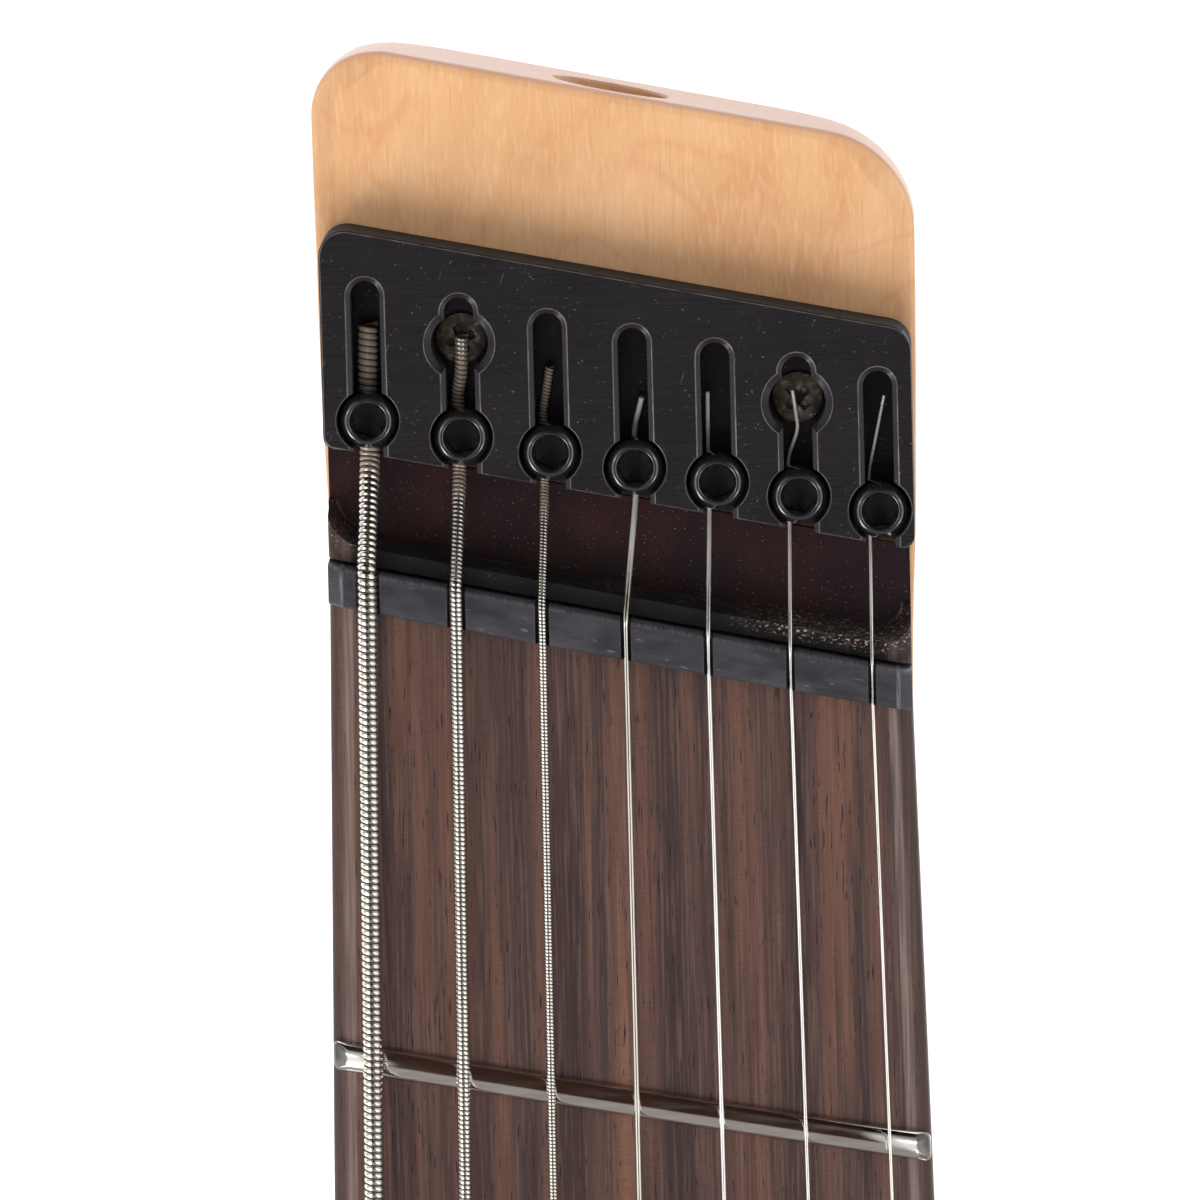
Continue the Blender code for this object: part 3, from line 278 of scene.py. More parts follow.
def flare(x, y, half):
    """How far the head's sides stand out of the straight neck, a little more on the treble side."""
    behind = [0.0080, 0.0148, 0.0197, 0.0247, 0.0296, 0.0345, 0.0460]
    bass = np.interp(y - nut_y, behind, [0, 0.10, 0.22, 0.25, 0.28, 0.36, 0.40])
    treble = np.interp(y - nut_y, behind, [0, 0.22, 0.35, 0.42, 0.53, 0.60, 0.66])
    return np.where(x < 0, bass, treble) / 1000 * x / half


def neck_ring(y, half, depth, power, slope):
    """Points round the neck at y: a flat face whose edge is rounded by its true distance from the plan's
    outline, corner arc and all, and under it |x / half|^power + |z / depth|^power = 1, slanted along y."""
    level = np.linspace(-1, 1, 37)[1:-1] * (half - neck_edge)
    face = np.concatenate([near_side - half, level, half - near_side[::-1]])
    aside, from_end = half_width(y) - np.abs(face), head_end - y
    inside = np.minimum(aside, from_end)
    if from_end < head_corner:
        arc = head_corner - np.hypot(head_corner - aside, head_corner - from_end)
        inside = np.where(aside < head_corner, arc, inside)
    angle = np.linspace(0, math.pi, 37)[1:-1]
    across = np.sign(np.cos(angle)) * np.abs(np.cos(angle)) ** (2 / power)
    down = (depth - neck_edge - eased(from_end, neck_edge)) * np.sin(angle) ** (2 / power)
    x = np.concatenate([face, half * across])
    z = np.concatenate([-eased(inside, neck_edge), -neck_edge - down])
    return np.stack([x + flare(x, y, head_half), y + slope * x, neck_face + z], 1)


heel_top = board_end + 0.072
shaft_start, curve_start = heel_top + 0.045, nut_y - 0.030
neck_plan = np.array([  # y, depth, power and slope of the neck's section, as neck_ring takes them
    (board_end, 0.0157, 9, board_end_slope),
    (heel_top, 0.0157, 9, 0),
    (heel_top + 0.015, 0.0157, 6, 0),
    (heel_top + 0.030, 0.01525, 3.4, 0),
    (shaft_start, 0.0148, 2.6, 0),
    ((shaft_start + curve_start) / 2, 0.0141, 2.5, nut_slope / 3),
    (curve_start, 0.0134, 2.5, nut_slope),
    (nut_y - 0.014, 0.0134, 3, nut_slope),
    (nut_y, 0.0132, 4.5, nut_slope),
    (nut_y + 0.010, head_depth, head_power, nut_slope),
    (head_end, head_depth, head_power, nut_slope),
])
corner_start = head_end - head_corner
neck_rows = np.concatenate([
    np.linspace(board_end, heel_top, 5)[:-1], np.linspace(heel_top, shaft_start, 16)[:-1],
    np.linspace(shaft_start, curve_start, 12)[:-1], np.linspace(curve_start, nut_y + 0.012, 16)[:-1],
    np.linspace(nut_y + 0.012, corner_start, 6),
])
neck_rings = []
for y in neck_rows:
    section = (np.interp(y, neck_plan[:, 0], neck_plan[:, column]) for column in (1, 2, 3))
    neck_rings.append(neck_ring(y, float(half_width(y)), *section))
from_end = np.concatenate([head_corner * (1 - np.sin(np.radians([6, 12, 18, 24, 31, 38, 45, 52, 60, 67]))),
                           near_side[2::-1]])
for back in from_end:
    half = head_half - head_corner + math.sqrt(head_corner ** 2 - (head_corner - back) ** 2)
    neck_rings.append(neck_ring(head_end - back, half, head_depth, head_power, nut_slope))
flat_ring = neck_rings[-1]
bearing = np.arctan2(flat_ring[:, 2] - rod_z, flat_ring[:, 0] * 0.5)


def hole_ring(y, wide, high, slope=nut_slope):
    """Ellipse round the truss rod's axis, with a point at each bearing of the end face's outline."""
    x = wide * np.cos(bearing)
    return np.stack([x, y + slope * x, rod_z + high * np.sin(bearing)], 1)


rod_hole = 0.00485, 0.00345
rod_hole_end = nut_y + 0.0076
mouth = hole_ring(head_end, 0.00500, 0.00360)
for share in (0.35, 0.7, 1):
    neck_rings.append(flat_ring + (mouth - flat_ring) * share)
neck_rings += [hole_ring(head_end - 0.0002, *rod_hole), hole_ring(nut_y + 0.020, *rod_hole),
               hole_ring(rod_hole_end, *rod_hole, 0), hole_ring(rod_hole_end, 0, 0, 0)]
piece("maple_neck", skin("maple_neck", np.array(neck_rings)), maple, stands_for=["neck"])

# Fretboard: rosewood, cut to a 508 mm radius, its long edges rolled over by sanding. Behind the nut it is
# routed down to a scoop that lets the strings fall to the lock plate, and that floor is dark and glossy.
board_under, board_crown = 0.0433, 0.0493
board_radius = 0.508
nut_thick = 0.0035
scoop_floor = 0.0443
scoop_start = 0.0018
scoop_corner = 0.0030
roll_width, roll_depth = 0.0019, 0.0010
plate_low_y = nut_y + plate_gap
plate_slant = 0.199


def crown(x):
    """Height of the fretboard's round top over x, without its rolled edges."""
    return board_crown - x ** 2 / (2 * board_radius)


def rolled(edge):
    """How far the rolled edge lies below the round top, at a distance from the side: a quarter ellipse."""
    share = 1 - np.clip(edge / roll_width, 0, 1)
    return roll_depth * (1 - np.sqrt(1 - share ** 2))


def into_scoop(x, y, edge):
    """Signed distance inside the scoop's outline: a straight line behind the nut, with round corners."""
    behind = y - nut_slope * x - nut_y - nut_thick - scoop_start
    side = edge + 0.0002
    corner = scoop_corner - np.hypot(scoop_corner - side, scoop_corner - behind)
    return np.where((side < scoop_corner) & (behind < scoop_corner), np.minimum(corner, behind), behind)


near_edge = np.concatenate([[0, 0.08, 0.17, 0.28], np.linspace(0.4, 3.9, 22)]) / 1000


def board_row(y, slope, floor=None):
    """A ring round the fretboard: flat underside, upright sides and the round top with rolled edges. Behind
    the nut the top falls into the scoop in a cove, 1 - sqrt(1 - (1 - t)^2) over one millimetre."""
    half = float(half_width(min(y, nut_y)))
    inner = np.linspace(-1, 1, 25)[1:-1] * (half - near_edge[-1])
    x = np.concatenate([near_edge - half, inner, half - near_edge[::-1]])
    edge = half - np.abs(x)
    z = crown(x) - rolled(edge)
    depth = into_scoop(x, y + slope * x, edge)
    if floor is not None:
        z = 0 * x + floor
    elif y > nut_y + nut_thick:
        share = 1 - np.clip(depth / 0.0010, 0, 1)
        z = scoop_floor + (z - scoop_floor) * (1 - np.sqrt(1 - share ** 2))
    x = np.concatenate([[half * 0.5, -half * 0.5, -half], x, [half]])
    z = np.concatenate([[board_under] * 3, z, [board_under]])
    depth = np.concatenate([[-1] * 3, depth, [-1]])
    return np.stack([x, y + slope * x, z, depth], 1)


seat_low, seat_high = nut_y - 0.00004, nut_y + nut_thick + 0.0003
seat_floor = board_crown - 0.0031
plate_edge = plate_low_y - 0.0003
board_rows = [board_row(y, fan(y / nut_y)[1]) for y in np.linspace(board_end, seat_low, 90)]
board_rows += [board_row(seat_low, nut_slope, seat_floor), board_row(seat_high, nut_slope, seat_floor)]
for y in np.linspace(seat_high, plate_edge, 90):
    share = (y - seat_high) / (plate_edge - seat_high)
    board_rows.append(board_row(y, nut_slope + (-plate_slant - nut_slope) * share))
board_grid = np.array(board_rows)
board_mesh = skin("board", board_grid[..., :3], merge=False)
board_depth = board_mesh.attributes.new("into_scoop", "FLOAT", "POINT")
board_depth.data.foreach_set("value", (board_grid[..., 3] * 1000).ravel().astype(np.float32))

rosewood = finish("rosewood", Specular_IOR_Level=0.22)
fine = pattern(rosewood, (0.00022, 0.009, 0.001), 3)
stripes = grain(rosewood, (0.0026, 0.13, 0.012), (0.30, (0.028, 0.017, 0.016)), (0.44, (0.066, 0.038, 0.034)),
                (0.56, (0.112, 0.057, 0.044)), (0.72, (0.180, 0.085, 0.056)), detail=3, distortion=0.35)
bands = grain(rosewood, (0.0008, 0.035, 0.004), (0.46, 0.0), (0.68, 0.72), detail=3, distortion=0.2)
ripple = grain(rosewood, (0.0011, 0.00013, 0.001), (0.42, 0.0), (0.70, 0.22))
pores = grain(rosewood, (0.00017, 0.0026, 0.0006), (0.635, 0.0), (0.69, 0.9), distortion=0.2)
lean_out = maths(rosewood, "ABSOLUTE", axis(rosewood, "Normal", "X"))
# Painted highlight: where the rolled edges lean out sideways, a lighter streak runs along each edge.
rolled_edge_highlight = product(rosewood, span(rosewood, lean_out, 0.041, 0.060), span(rosewood, lean_out, 0.32, 0.18),
                  ramp(rosewood, fine, (0.35, 0.35), (0.65, 0.95)))
shaded_side = product(rosewood, span(rosewood, lean_out, 0.26, 0.50), 0.55)
inside = node(rosewood, "Attribute", attribute_name="into_scoop").outputs["Fac"]
is_floor = ramp(rosewood, inside, (0.05, 0.0), (0.45, 1.0))
lacquer = grain(rosewood, (0.004, 0.007, 0.004), (0.35, (0.0165, 0.0105, 0.0125)),
                (0.70, (0.031, 0.0130, 0.0125)))
aside = axis(rosewood, "Object", "X")
corners = span(rosewood, maths(rosewood, "ABSOLUTE", aside), 0.0212, 0.0226)
treble_rim = span(rosewood, aside, 0.0085, 0.0125)
# Painted shadow: the band just behind the nut, where the nut's shadow falls, is coloured near black and made
# rough, a little less at the outer corners.
painted_nut_shadow = maths(rosewood, "SUBTRACT", span(rosewood, inside, -1.9, -1.7), span(rosewood, inside, 0.25, 0.75))
painted_nut_shadow = product(rosewood, painted_nut_shadow, maths(rosewood, "SUBTRACT", 1.0, product(rosewood, corners, 0.5)))
painted_nut_shadow = maths(rosewood, "MAXIMUM", painted_nut_shadow, 0.0)
patches = grain(rosewood, (0.0060, 0.0040, 0.004), (0.50, 0.0), (0.66, 0.45))
patches = maths(rosewood, "MAXIMUM", patches, maths(rosewood, "MAXIMUM", corners, treble_rim))
worn_rim = product(rosewood, span(rosewood, inside, -1.3, -0.5), span(rosewood, inside, 0.9, 0.2), patches)
scuffs = grain(rosewood, (0.0008, 0.00035, 0.0004), (0.50, 0.0), (0.66, 0.70), detail=4)
chips = grain(rosewood, (0.00030, 0.00018, 0.0002), (0.60, 0.0), (0.66, 0.9))
dust = product(rosewood, grain(rosewood, (0.00016, 0.00016, 0.00016), (0.785, 0.0), (0.82, 0.55), detail=0),
               maths(rosewood, "ADD", product(rosewood, is_floor, 0.75), 0.25))
rose_tone = layered(
    rosewood, stripes, (bands, (0.040, 0.026, 0.026)),
    (ramp(rosewood, fine, (0.48, 0.0), (0.72, 0.50)), (0.200, 0.110, 0.085)), (ripple, (0.030, 0.020, 0.019)),
    (pores, (0.013, 0.010, 0.010)), (rolled_edge_highlight, (0.225, 0.165, 0.145)), (shaded_side, (0.040, 0.024, 0.021)),
    (is_floor, lacquer), (painted_nut_shadow, (0.0080, 0.0070, 0.0078)),
    (product(rosewood, worn_rim, scuffs), (0.085, 0.052, 0.042)),
    (product(rosewood, worn_rim, chips), (0.40, 0.33, 0.29)), (dust, (0.30, 0.21, 0.18)))
feed(rosewood, Base_Color=rose_tone,
     Roughness=layered(rosewood, (0.45,) * 3, (is_floor, (0.22,) * 3), (painted_nut_shadow, (0.8,) * 3)))
relief = maths(rosewood, "SUBTRACT", fine, pores)
bump(rosewood, product(rosewood, relief, maths(rosewood, "SUBTRACT", 1.0, is_floor)), 0.00005, 0.6)
piece("rosewood_board", board_mesh, rosewood, stands_for=["fretboard"])

# Frets: nickel silver wire with a 2.5 mm crown, pressed into the rosewood along the fan's lines, crowned and
# polished by hand. Their ends are bevelled flush with the board's edge.
fret_metal = finish("fret_metal", Metallic=1.0)
polish = pattern(fret_metal, (0.0050, 0.0005, 0.001), 3)
fret_side = maths(fret_metal, "ABSOLUTE", axis(fret_metal, "Normal", "X"))
# Painted reflection: where the bevelled ends turn sideways, the metal is coloured dark grey.
fret_end_dark_reflection = product(fret_metal, span(fret_metal, fret_side, 0.24, 0.40),
                    span(fret_metal, fret_side, 0.92, 0.80))
fret_tone = ramp(fret_metal, polish, (0.3, (0.60, 0.56, 0.52)), (0.7, (0.74, 0.70, 0.66)))
feed(fret_metal, Base_Color=mix(fret_metal, fret_end_dark_reflection, fret_tone, (0.15, 0.14, 0.135)),
     Roughness=ramp(fret_metal, polish, (0.3, 0.09), (0.75, 0.17)))
bump(fret_metal, polish, 0.000006, 0.2)
fret_half, fret_height = 0.00125, 0.0011
fret_ends = np.array([0, 0.03, 0.1, 0.22, 0.4, 0.65, 0.95, 1.25]) / 1000


def fret_mesh(number):
    """One fret: the crown height * sin(angle)^0.8 over half * cos(angle), carried along its line on the
    fan. Near each end the crown falls off in a bevel, and the plan's corners are rounded."""
    y, slope = fan(2 ** (-number / 12))
    reach = float(half_width(y)) - 0.00005
    level = np.linspace(fret_ends[-1] - reach, reach - fret_ends[-1], 11)[1:-1]
    x = np.concatenate([fret_ends - reach, level, reach - fret_ends[::-1]])
    distance = reach - np.abs(x)
    shrink = 0.45 + 0.55 * np.sqrt(1 - (1 - np.clip(distance / 0.0006, 0, 1)) ** 2)
    bevel = 0.12 + 0.88 * np.clip(distance / 0.0013, 0, 1) ** 0.7
    angle = np.linspace(0, math.pi, 15)
    across = np.concatenate([[fret_half], fret_half * np.cos(angle), [-fret_half]])
    up = np.concatenate([[-0.0010], fret_height * np.sin(angle).clip(0) ** 0.8, [-0.0010]])
    rise = np.where(up > 0, up * bevel[:, None], up) - rolled(distance)[:, None] * (up <= 0)
    points = np.empty((len(x), len(across), 3))
    points[..., 0] = x[:, None]
    points[..., 1] = (y + slope * x)[:, None] + across * shrink[:, None]
    points[..., 2] = crown(x)[:, None] + rise
    return skin(f"fret_{number:02d}", points)


for number in range(1, 25):
    piece(f"fret_{number:02d}", fret_mesh(number), fret_metal)

# Nut: a bar of dark grey graphite, glued in its seat against the end of the playing surface. A file has cut
# a slot for each string, and its top slopes down towards the lock plate. Its ends are bevelled.
string_sizes = np.array([1.70, 1.15, 0.76, 0.46, 0.36, 0.30, 0.25]) / 1000
string_pairs = (string_sizes[:-1] + string_sizes[1:]) / 2


def string_places(spread, even_gaps):
    """Centres of the strings over a spread, between equal centres (0) and equal gaps (1)."""
    gap = (spread - string_pairs.sum()) / 6
    steps = (1 - even_gaps) * spread / 6 + even_gaps * (gap + string_pairs)
    return np.concatenate([[0], np.cumsum(steps)]) - spread / 2


nut_x = string_places(nut_spread, 0.5)
nut_action = 0.00155
nut_string_z = crown(nut_x) + nut_action
nut_lip = nut_action + 0.00062
slot_room = string_sizes / 2 + 0.00021
slot_places = np.concatenate([np.linspace(-1, 1, 13) * 0.999, [-1.02, 1.02]])
nut_half, bevel_start = 0.0238, 0.0226
slot_rim = 0.00004
nut_columns = [np.linspace(-nut_half, nut_half, 120)]
nut_columns.append(np.outer([-1, 1], [0.0225, bevel_start, 0.0227, 0.0229, 0.0237]).ravel())
for x, room in zip(nut_x, slot_room):
    nut_columns += [x + slot_places * room, x + np.array([-1, 1]) * (room + 0.00008)]
nut_columns = np.unique(np.concatenate(nut_columns))
slot_depth = np.zeros(len(nut_columns))
for x, room, low in zip(nut_x, slot_room, nut_string_z):
    off = np.abs(nut_columns - x)
    floor_z = low - 0.00004 + room - np.sqrt(np.clip(room ** 2 - off ** 2, 0, None))
    lip_z = crown(nut_columns) + nut_lip
    below_lip = lip_z - np.minimum(floor_z, lip_z - 0.00006)
    slot_depth = np.where(off < room, np.maximum(slot_depth, below_lip), slot_depth)
    slot_depth = np.where((off >= room) & (off < room + 0.00006), slot_rim, slot_depth)
end_bevel = np.clip((np.abs(nut_columns) - bevel_start) / 0.0012, 0, 1) ** 1.3 * 0.0008
nut_top = crown(nut_columns) + nut_lip - end_bevel
seat = np.full(len(nut_columns), seat_floor + 0.0003)
nut_profile = [  # how far behind the front, and how far below the top before the slots
    (0.00000, None), (0.00005, 0.00120), (0.00022, 0.00016), (0.00034, 0.00004), (0.00050, 0.0),
    (0.00180, 0.00015), (0.00300, 0.00034), (0.00325, 0.00042), (0.00340, 0.00060), (nut_thick, None)]
back_edge = [7, 8]
nut_rings = np.empty((len(nut_columns), len(nut_profile), 3))
for k, (behind, below) in enumerate(nut_profile):
    nut_rings[:, k, 0] = nut_columns
    nut_rings[:, k, 1] = nut_y + nut_slope * nut_columns + behind
    nut_rings[:, k, 2] = seat if below is None else nut_top - np.maximum(slot_depth, below)
graphite = finish("nut_graphite", Specular_IOR_Level=0.35)
smear = pattern(graphite, (0.0040, 0.0012, 0.002), 4, 0.5, 0.2)
nicks = grain(graphite, (0.0012, 0.00025, 0.0005), (0.66, 0.0), (0.72, 0.6), detail=3, turn=0.2)
streaks = grain(graphite, (0.00018, 0.0020, 0.001), (0.40, 0.1), (0.65, 0.8))
from_middle = maths(graphite, "ABSOLUTE", axis(graphite, "Object", "X"))
# Painted highlight: a light line on the bevel at each end of the nut.
nut_end_highlight = product(graphite, span(graphite, from_middle, 0.02245, 0.02262),
                   span(graphite, from_middle, 0.0229, 0.0227))
# Painted highlight along the nut's back top edge and along the slot rims.
edge_highlight, slot_shade = (node(graphite, "Attribute", attribute_name=label).outputs["Fac"]
                 for label in ("edge_highlight", "slot_shade"))
# Painted shade: the slots are coloured near black and made rough, according to their depth.
slot_shade = span(graphite, slot_shade, 0.06, 0.22)
graphite_tone = layered(
    graphite, ramp(graphite, smear, (0.35, (0.026, 0.025, 0.030)), (0.65, (0.046, 0.044, 0.052))),
    (nicks, (0.16, 0.15, 0.15)), (product(graphite, nut_end_highlight, streaks), (0.21, 0.20, 0.21)),
    (product(graphite, edge_highlight, streaks), (0.11, 0.105, 0.11)), (slot_shade, (0.0035, 0.0035, 0.004)))
feed(graphite, Base_Color=graphite_tone,
     Roughness=mix(graphite, slot_shade, ramp(graphite, smear, (0.3, 0.34), (0.7, 0.52)), (0.85,) * 3))
bump(graphite, maths(graphite, "ADD", smear, nicks), 0.00006, 0.5)
nut_mesh = skin("graphite_nut", nut_rings, crease=50, merge=False)
# The slot depth drives the painted shade in the slots.
cut = np.repeat(slot_depth[:, None], len(nut_profile), 1) * 1000
# The back edge and the slot rims carry the painted highlight.
edge_highlight_mask = np.zeros(cut.shape)
edge_highlight_mask[:, back_edge] = 1
edge_highlight_mask = np.maximum(edge_highlight_mask, (np.abs(cut - slot_rim * 1000) < 0.001) * 0.8)
for label, values in (("slot_shade", cut), ("edge_highlight", edge_highlight_mask)):
    attribute = nut_mesh.attributes.new(label, "FLOAT", "POINT")
    attribute.data.foreach_set("value", values.ravel().astype(np.float32))
piece("graphite_nut", nut_mesh, graphite, stands_for=["nut"])

# Lock plate: milled from black anodised aluminium. Each string has a keyhole channel, open at the lower edge,
# whose long edges are chamfered wide and whose bores are chamfered a little. It lies flat on the maple.
plate_under, plate_top, channel_floor = 0.0433, 0.0495, 0.0445
plate_left, plate_right = -0.0239, 0.0243
plate_length = 0.0182
lean = math.atan(plate_slant)
lock_x = string_places(0.0417, 0.9) + 0.00065
lock_y = plate_low_y + 0.0028 - plate_slant * lock_x
channel_reach, channel_half = 0.0115, 0.0012
screw_setback = 0.0077


def slanted_corner(side_x, edge_y, slope, way, radius, inset=(0.0, 0.0)):
    """Arc between an upright side at side_x and a slanted edge y = edge_y + slope * x, anticlockwise: its
    centre lies a radius inside both. The way (x, y) says which corner of the plan it is."""
    tilt = math.atan(slope)
    x = side_x - way[0] * radius
    y = edge_y + (math.sin(tilt) * x - way[1] * radius) / math.cos(tilt)
    quarter = math.pi / 2
    ends = {(1, 1): (0, quarter + tilt), (-1, 1): (quarter + tilt, 2 * quarter),
            (-1, -1): (2 * quarter, 3 * quarter + tilt), (1, -1): (3 * quarter + tilt, 4 * quarter)}[way]
    angle = np.linspace(*ends, 8)
    return np.stack([x + (radius - inset[0]) * np.cos(angle), y + (radius - inset[1]) * np.sin(angle)], 1)


def slanted_plan(left, right, low, high, slope, radius, inset=0.0):
    """Outline with upright sides, slanted ends and round corners, anticlockwise from its lower left."""
    corners = ((left, low, (-1, -1)), (right, low, (1, -1)), (right, high, (1, 1)), (left, high, (-1, 1)))
    return np.concatenate([slanted_corner(side, edge, slope, way, radius, (inset, inset))
                           for side, edge, way in corners])


def channel_side(i, way, half, lock_bore, screw_bore, low):
    """One side of a keyhole from the plate's lower edge to its round end, as x, y and a number for the
    kind of edge. Where the bore breaks the plate's edge, the wall shrinks to the point where they cross."""
    points = []
    bores = [(lock_y[i], lock_bore, 1)]
    if i in (1, 5):
        bores.append((lock_y[i] + screw_setback, screw_bore, 2))
    for middle, radius, kind in bores:
        bite = math.asin(half / radius)
        widest = math.asin(0.0017 / radius)
        first = bite
        if kind == 1:
            depth = middle - low + plate_slant * lock_x[i]
            first = max(bite, math.acos(min(1, depth / radius * math.cos(lean))) - way * lean)
            x = way * radius * math.sin(first)
            points.append((x, low - plate_slant * (lock_x[i] + x), 0))
        points.append((way * radius * math.sin(first), middle - radius * math.cos(first), 0))
        for angle in np.linspace(max(first, widest), math.pi - widest, 15):
            points.append((way * radius * math.sin(angle), middle - radius * math.cos(angle), kind))
        points.append((way * half, middle + radius * math.cos(bite), 0))
    centre = lock_y[i] + channel_reach - channel_half
    for angle in np.linspace(0, math.pi / 2, 8):
        points.append((way * half * math.cos(angle), centre + half * math.sin(angle), 0))
    return np.array(points) + [lock_x[i], 0, 0]


def plate_corners(inset):
    """The plate's four corners, anticlockwise from its lower left and inset, less on the treble side."""
    low, high = plate_low_y, plate_low_y + plate_length
    places = ((plate_left, low, (-1, -1), 0.0010, 1), (plate_right, low, (1, -1), 0.0010, 0.35),
              (plate_right, high, (1, 1), 0.0021, 0.35), (plate_left, high, (-1, 1), 0.0021, 1))
    return [slanted_corner(side, edge, -plate_slant, way, radius, (inset * share, inset))
            for side, edge, way, radius, share in places]


def plate_ring(half, lock_bore, screw_bore, inset, heights):
    """Outline of the plate, inset a little and with all its keyholes, anticlockwise from its lower left
    corner. The heights are those of the channels' walls, the two kinds of bore, and the outer edges."""
    corners = [np.c_[corner, np.full(len(corner), 3)] for corner in plate_corners(inset)]
    parts = [corners[0]]
    for i in range(7):
        low = plate_low_y + inset / math.cos(lean)
        sides = [channel_side(i, way, half, lock_bore, screw_bore, low) for way in (-1, 1)]
        parts += [sides[0], sides[1][-2::-1]]
    outline = np.concatenate(parts + corners[1:])
    outline[:, 2] = plate_top + np.array(heights)[outline[:, 2].astype(int)]
    return outline


def joined(name, *meshes):
    """Several meshes as one."""
    shape = bmesh.new()
    for mesh in meshes:
        shape.from_mesh(mesh)
        bpy.data.meshes.remove(mesh)
    made = bpy.data.meshes.new(name)
    shape.to_mesh(made)
    shape.free()
    return finished(made, merge=False)


anodised = finish("black_anodised", Specular_IOR_Level=0.35)
mill = pattern(anodised, (0.0060, 0.00012, 0.001), 3)
haze = grain(anodised, (0.006,) * 3, (0.3, (0.0085, 0.0072, 0.0088)), (0.7, (0.0120, 0.0104, 0.0122)),
             detail=3)
scratch = grain(anodised, (0.00008, 0.0028, 0.001), (0.735, 0.0), (0.76, 0.5), detail=3, turn=0.35)
lint = grain(anodised, (0.00020,) * 3, (0.81, 0.0), (0.84, 0.35), detail=0)
level = axis(anodised, "Object", "Z")
# Just under the top face, on the micro-bevels round the outline and channels, the colour is lighter. This is
# partly bare aluminium on the chamfers and partly a painted highlight of their edges.
bare_edge_and_highlight = product(anodised, span(anodised, level, plate_top - 0.00006, plate_top - 0.00004),
               span(anodised, level, plate_top - 0.000001, plate_top - 0.000012),
               grain(anodised, (0.0015,) * 3, (0.35, 0.25), (0.65, 1.0), detail=4))
upright = span(anodised, axis(anodised, "Normal", "Z"), 0.30, 0.10)
anodised_tone = layered(anodised, haze, (maths(anodised, "MAXIMUM", scratch, lint), (0.20, 0.19, 0.19)),
                        (bare_edge_and_highlight, (0.17, 0.14, 0.13)))
feed(anodised, Base_Color=anodised_tone,
     Roughness=mix(anodised, upright, ramp(anodised, mill, (0.3, 0.24), (0.7, 0.34)), (0.85,) * 3))
bump(anodised, mill, 0.00001, 0.35)
plate_rings = np.array([
    plate_ring(channel_half, 0.00255, 0.00235, 0, [channel_floor - 0.0001 - plate_top] * 4),
    plate_ring(channel_half, 0.00255, 0.00235, 0, [-0.00032, -0.00012, -0.00050, -0.00013]),
    plate_ring(0.00155, 0.00261, 0.00288, 0.00010, [-0.00005, -0.00005, -0.00006, -0.00004]),
    plate_ring(0.00160, 0.00264, 0.00293, 0.00013, [-0.000010, -0.000012, -0.000010, -0.000018]),
    plate_ring(0.00167, 0.00267, 0.00298, 0.00017, [0] * 4),
])
slab_plan = np.concatenate(plate_corners(0))
slab = np.array([np.c_[slab_plan, np.full(len(slab_plan), height)]
                 for height in (plate_under, channel_floor)])
piece("lock_plate", joined("lock_plate", skin("slab", slab), skin("keyholes", plate_rings, crease=50)),
      anodised, stands_for=["string_lock_plate"])

# Lock screws: seven short socket screws of hardened steel, blackened and oiled, each pressing its string on
# the floor of its channel. A round shoulder rises to a ridge, and inside it a 2.5 mm hexagon is broached.
lock_radius = 0.00228
lock_turns = np.radians([12, -21, 3, 26, -8, 17, -30])


def turned_mesh(name, profile, origin, axle=(0, 0, 1), count=48, apothem=0.0, turn=0.0, shape=None,
                crease=38):
    """Rings of (radius, height) turned round an axle. A third number blends a ring from a circle to the
    hexagon apothem / cos(angle from the nearest flat's middle). A shape changes radii by height and angle."""
    axle = np.array(axle, float)
    side = np.array([0, 0, 1.0]) if abs(axle[2]) < 0.5 else np.array([1.0, 0, 0])
    up = np.cross(axle, side)
    angle = np.linspace(0, 2 * math.pi, count, endpoint=False)
    hexagon = apothem / np.cos((angle - turn + math.pi / 6) % (math.pi / 3) - math.pi / 6)
    rings = []
    for radius, height, *six in profile:
        ring = radius * (1 - six[0]) + hexagon * six[0] if six else np.full(count, radius)
        if shape:
            ring = shape(ring, height, angle)
        rings.append(np.array(origin) + height * axle + ring[:, None] * (
            np.cos(angle)[:, None] * side + np.sin(angle)[:, None] * up))
    return skin(name, np.array(rings), caps=False, crease=crease)


def lock_screw_mesh(i):
    """A short rod with a steep shoulder, a flat ring with two round edges, and a hexagon broached in it."""
    bottom = float(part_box(f"lock_screw_{i + 1}")[0][2]) - plate_top
    profile = [(0.0, bottom), (0.0016, bottom), (lock_radius, bottom + 0.0006), (lock_radius, -0.00070),
               (0.00222, -0.00056), (0.00210, -0.00036), (0.00199, -0.00018), (0.00190, -0.00008),
               (0.00182, -0.00003), (0.00175, -0.00001), (0.00168, 0.0), (0.00160, 0.0),
               (0.00155, -0.00003), (0.00150, -0.00009), (0.00146, -0.00019), (0.0, -0.00040, 1),
               (0.0, -0.00200, 1), (0.0, -0.00235)]
    return turned_mesh(f"lock_screw_{i + 1}_black", profile, (lock_x[i], lock_y[i], plate_top), count=60,
                       apothem=0.00125, turn=lock_turns[i], crease=42)


socket_half, socket_top, socket_floor = 0.00148, plate_top - 0.0003, plate_top - 0.0026
blackened = mottled(
    "blackened_steel", (0.0007,) * 3, [(0.3, (0.006, 0.006, 0.007)), (0.7, (0.012, 0.011, 0.012))],
    [(0.3, 0.12), (0.75, 0.26)], relief=(0.00003, 0.4), Coat_Weight=1.0, Coat_Roughness=0.05,
    Specular_IOR_Level=0.5)
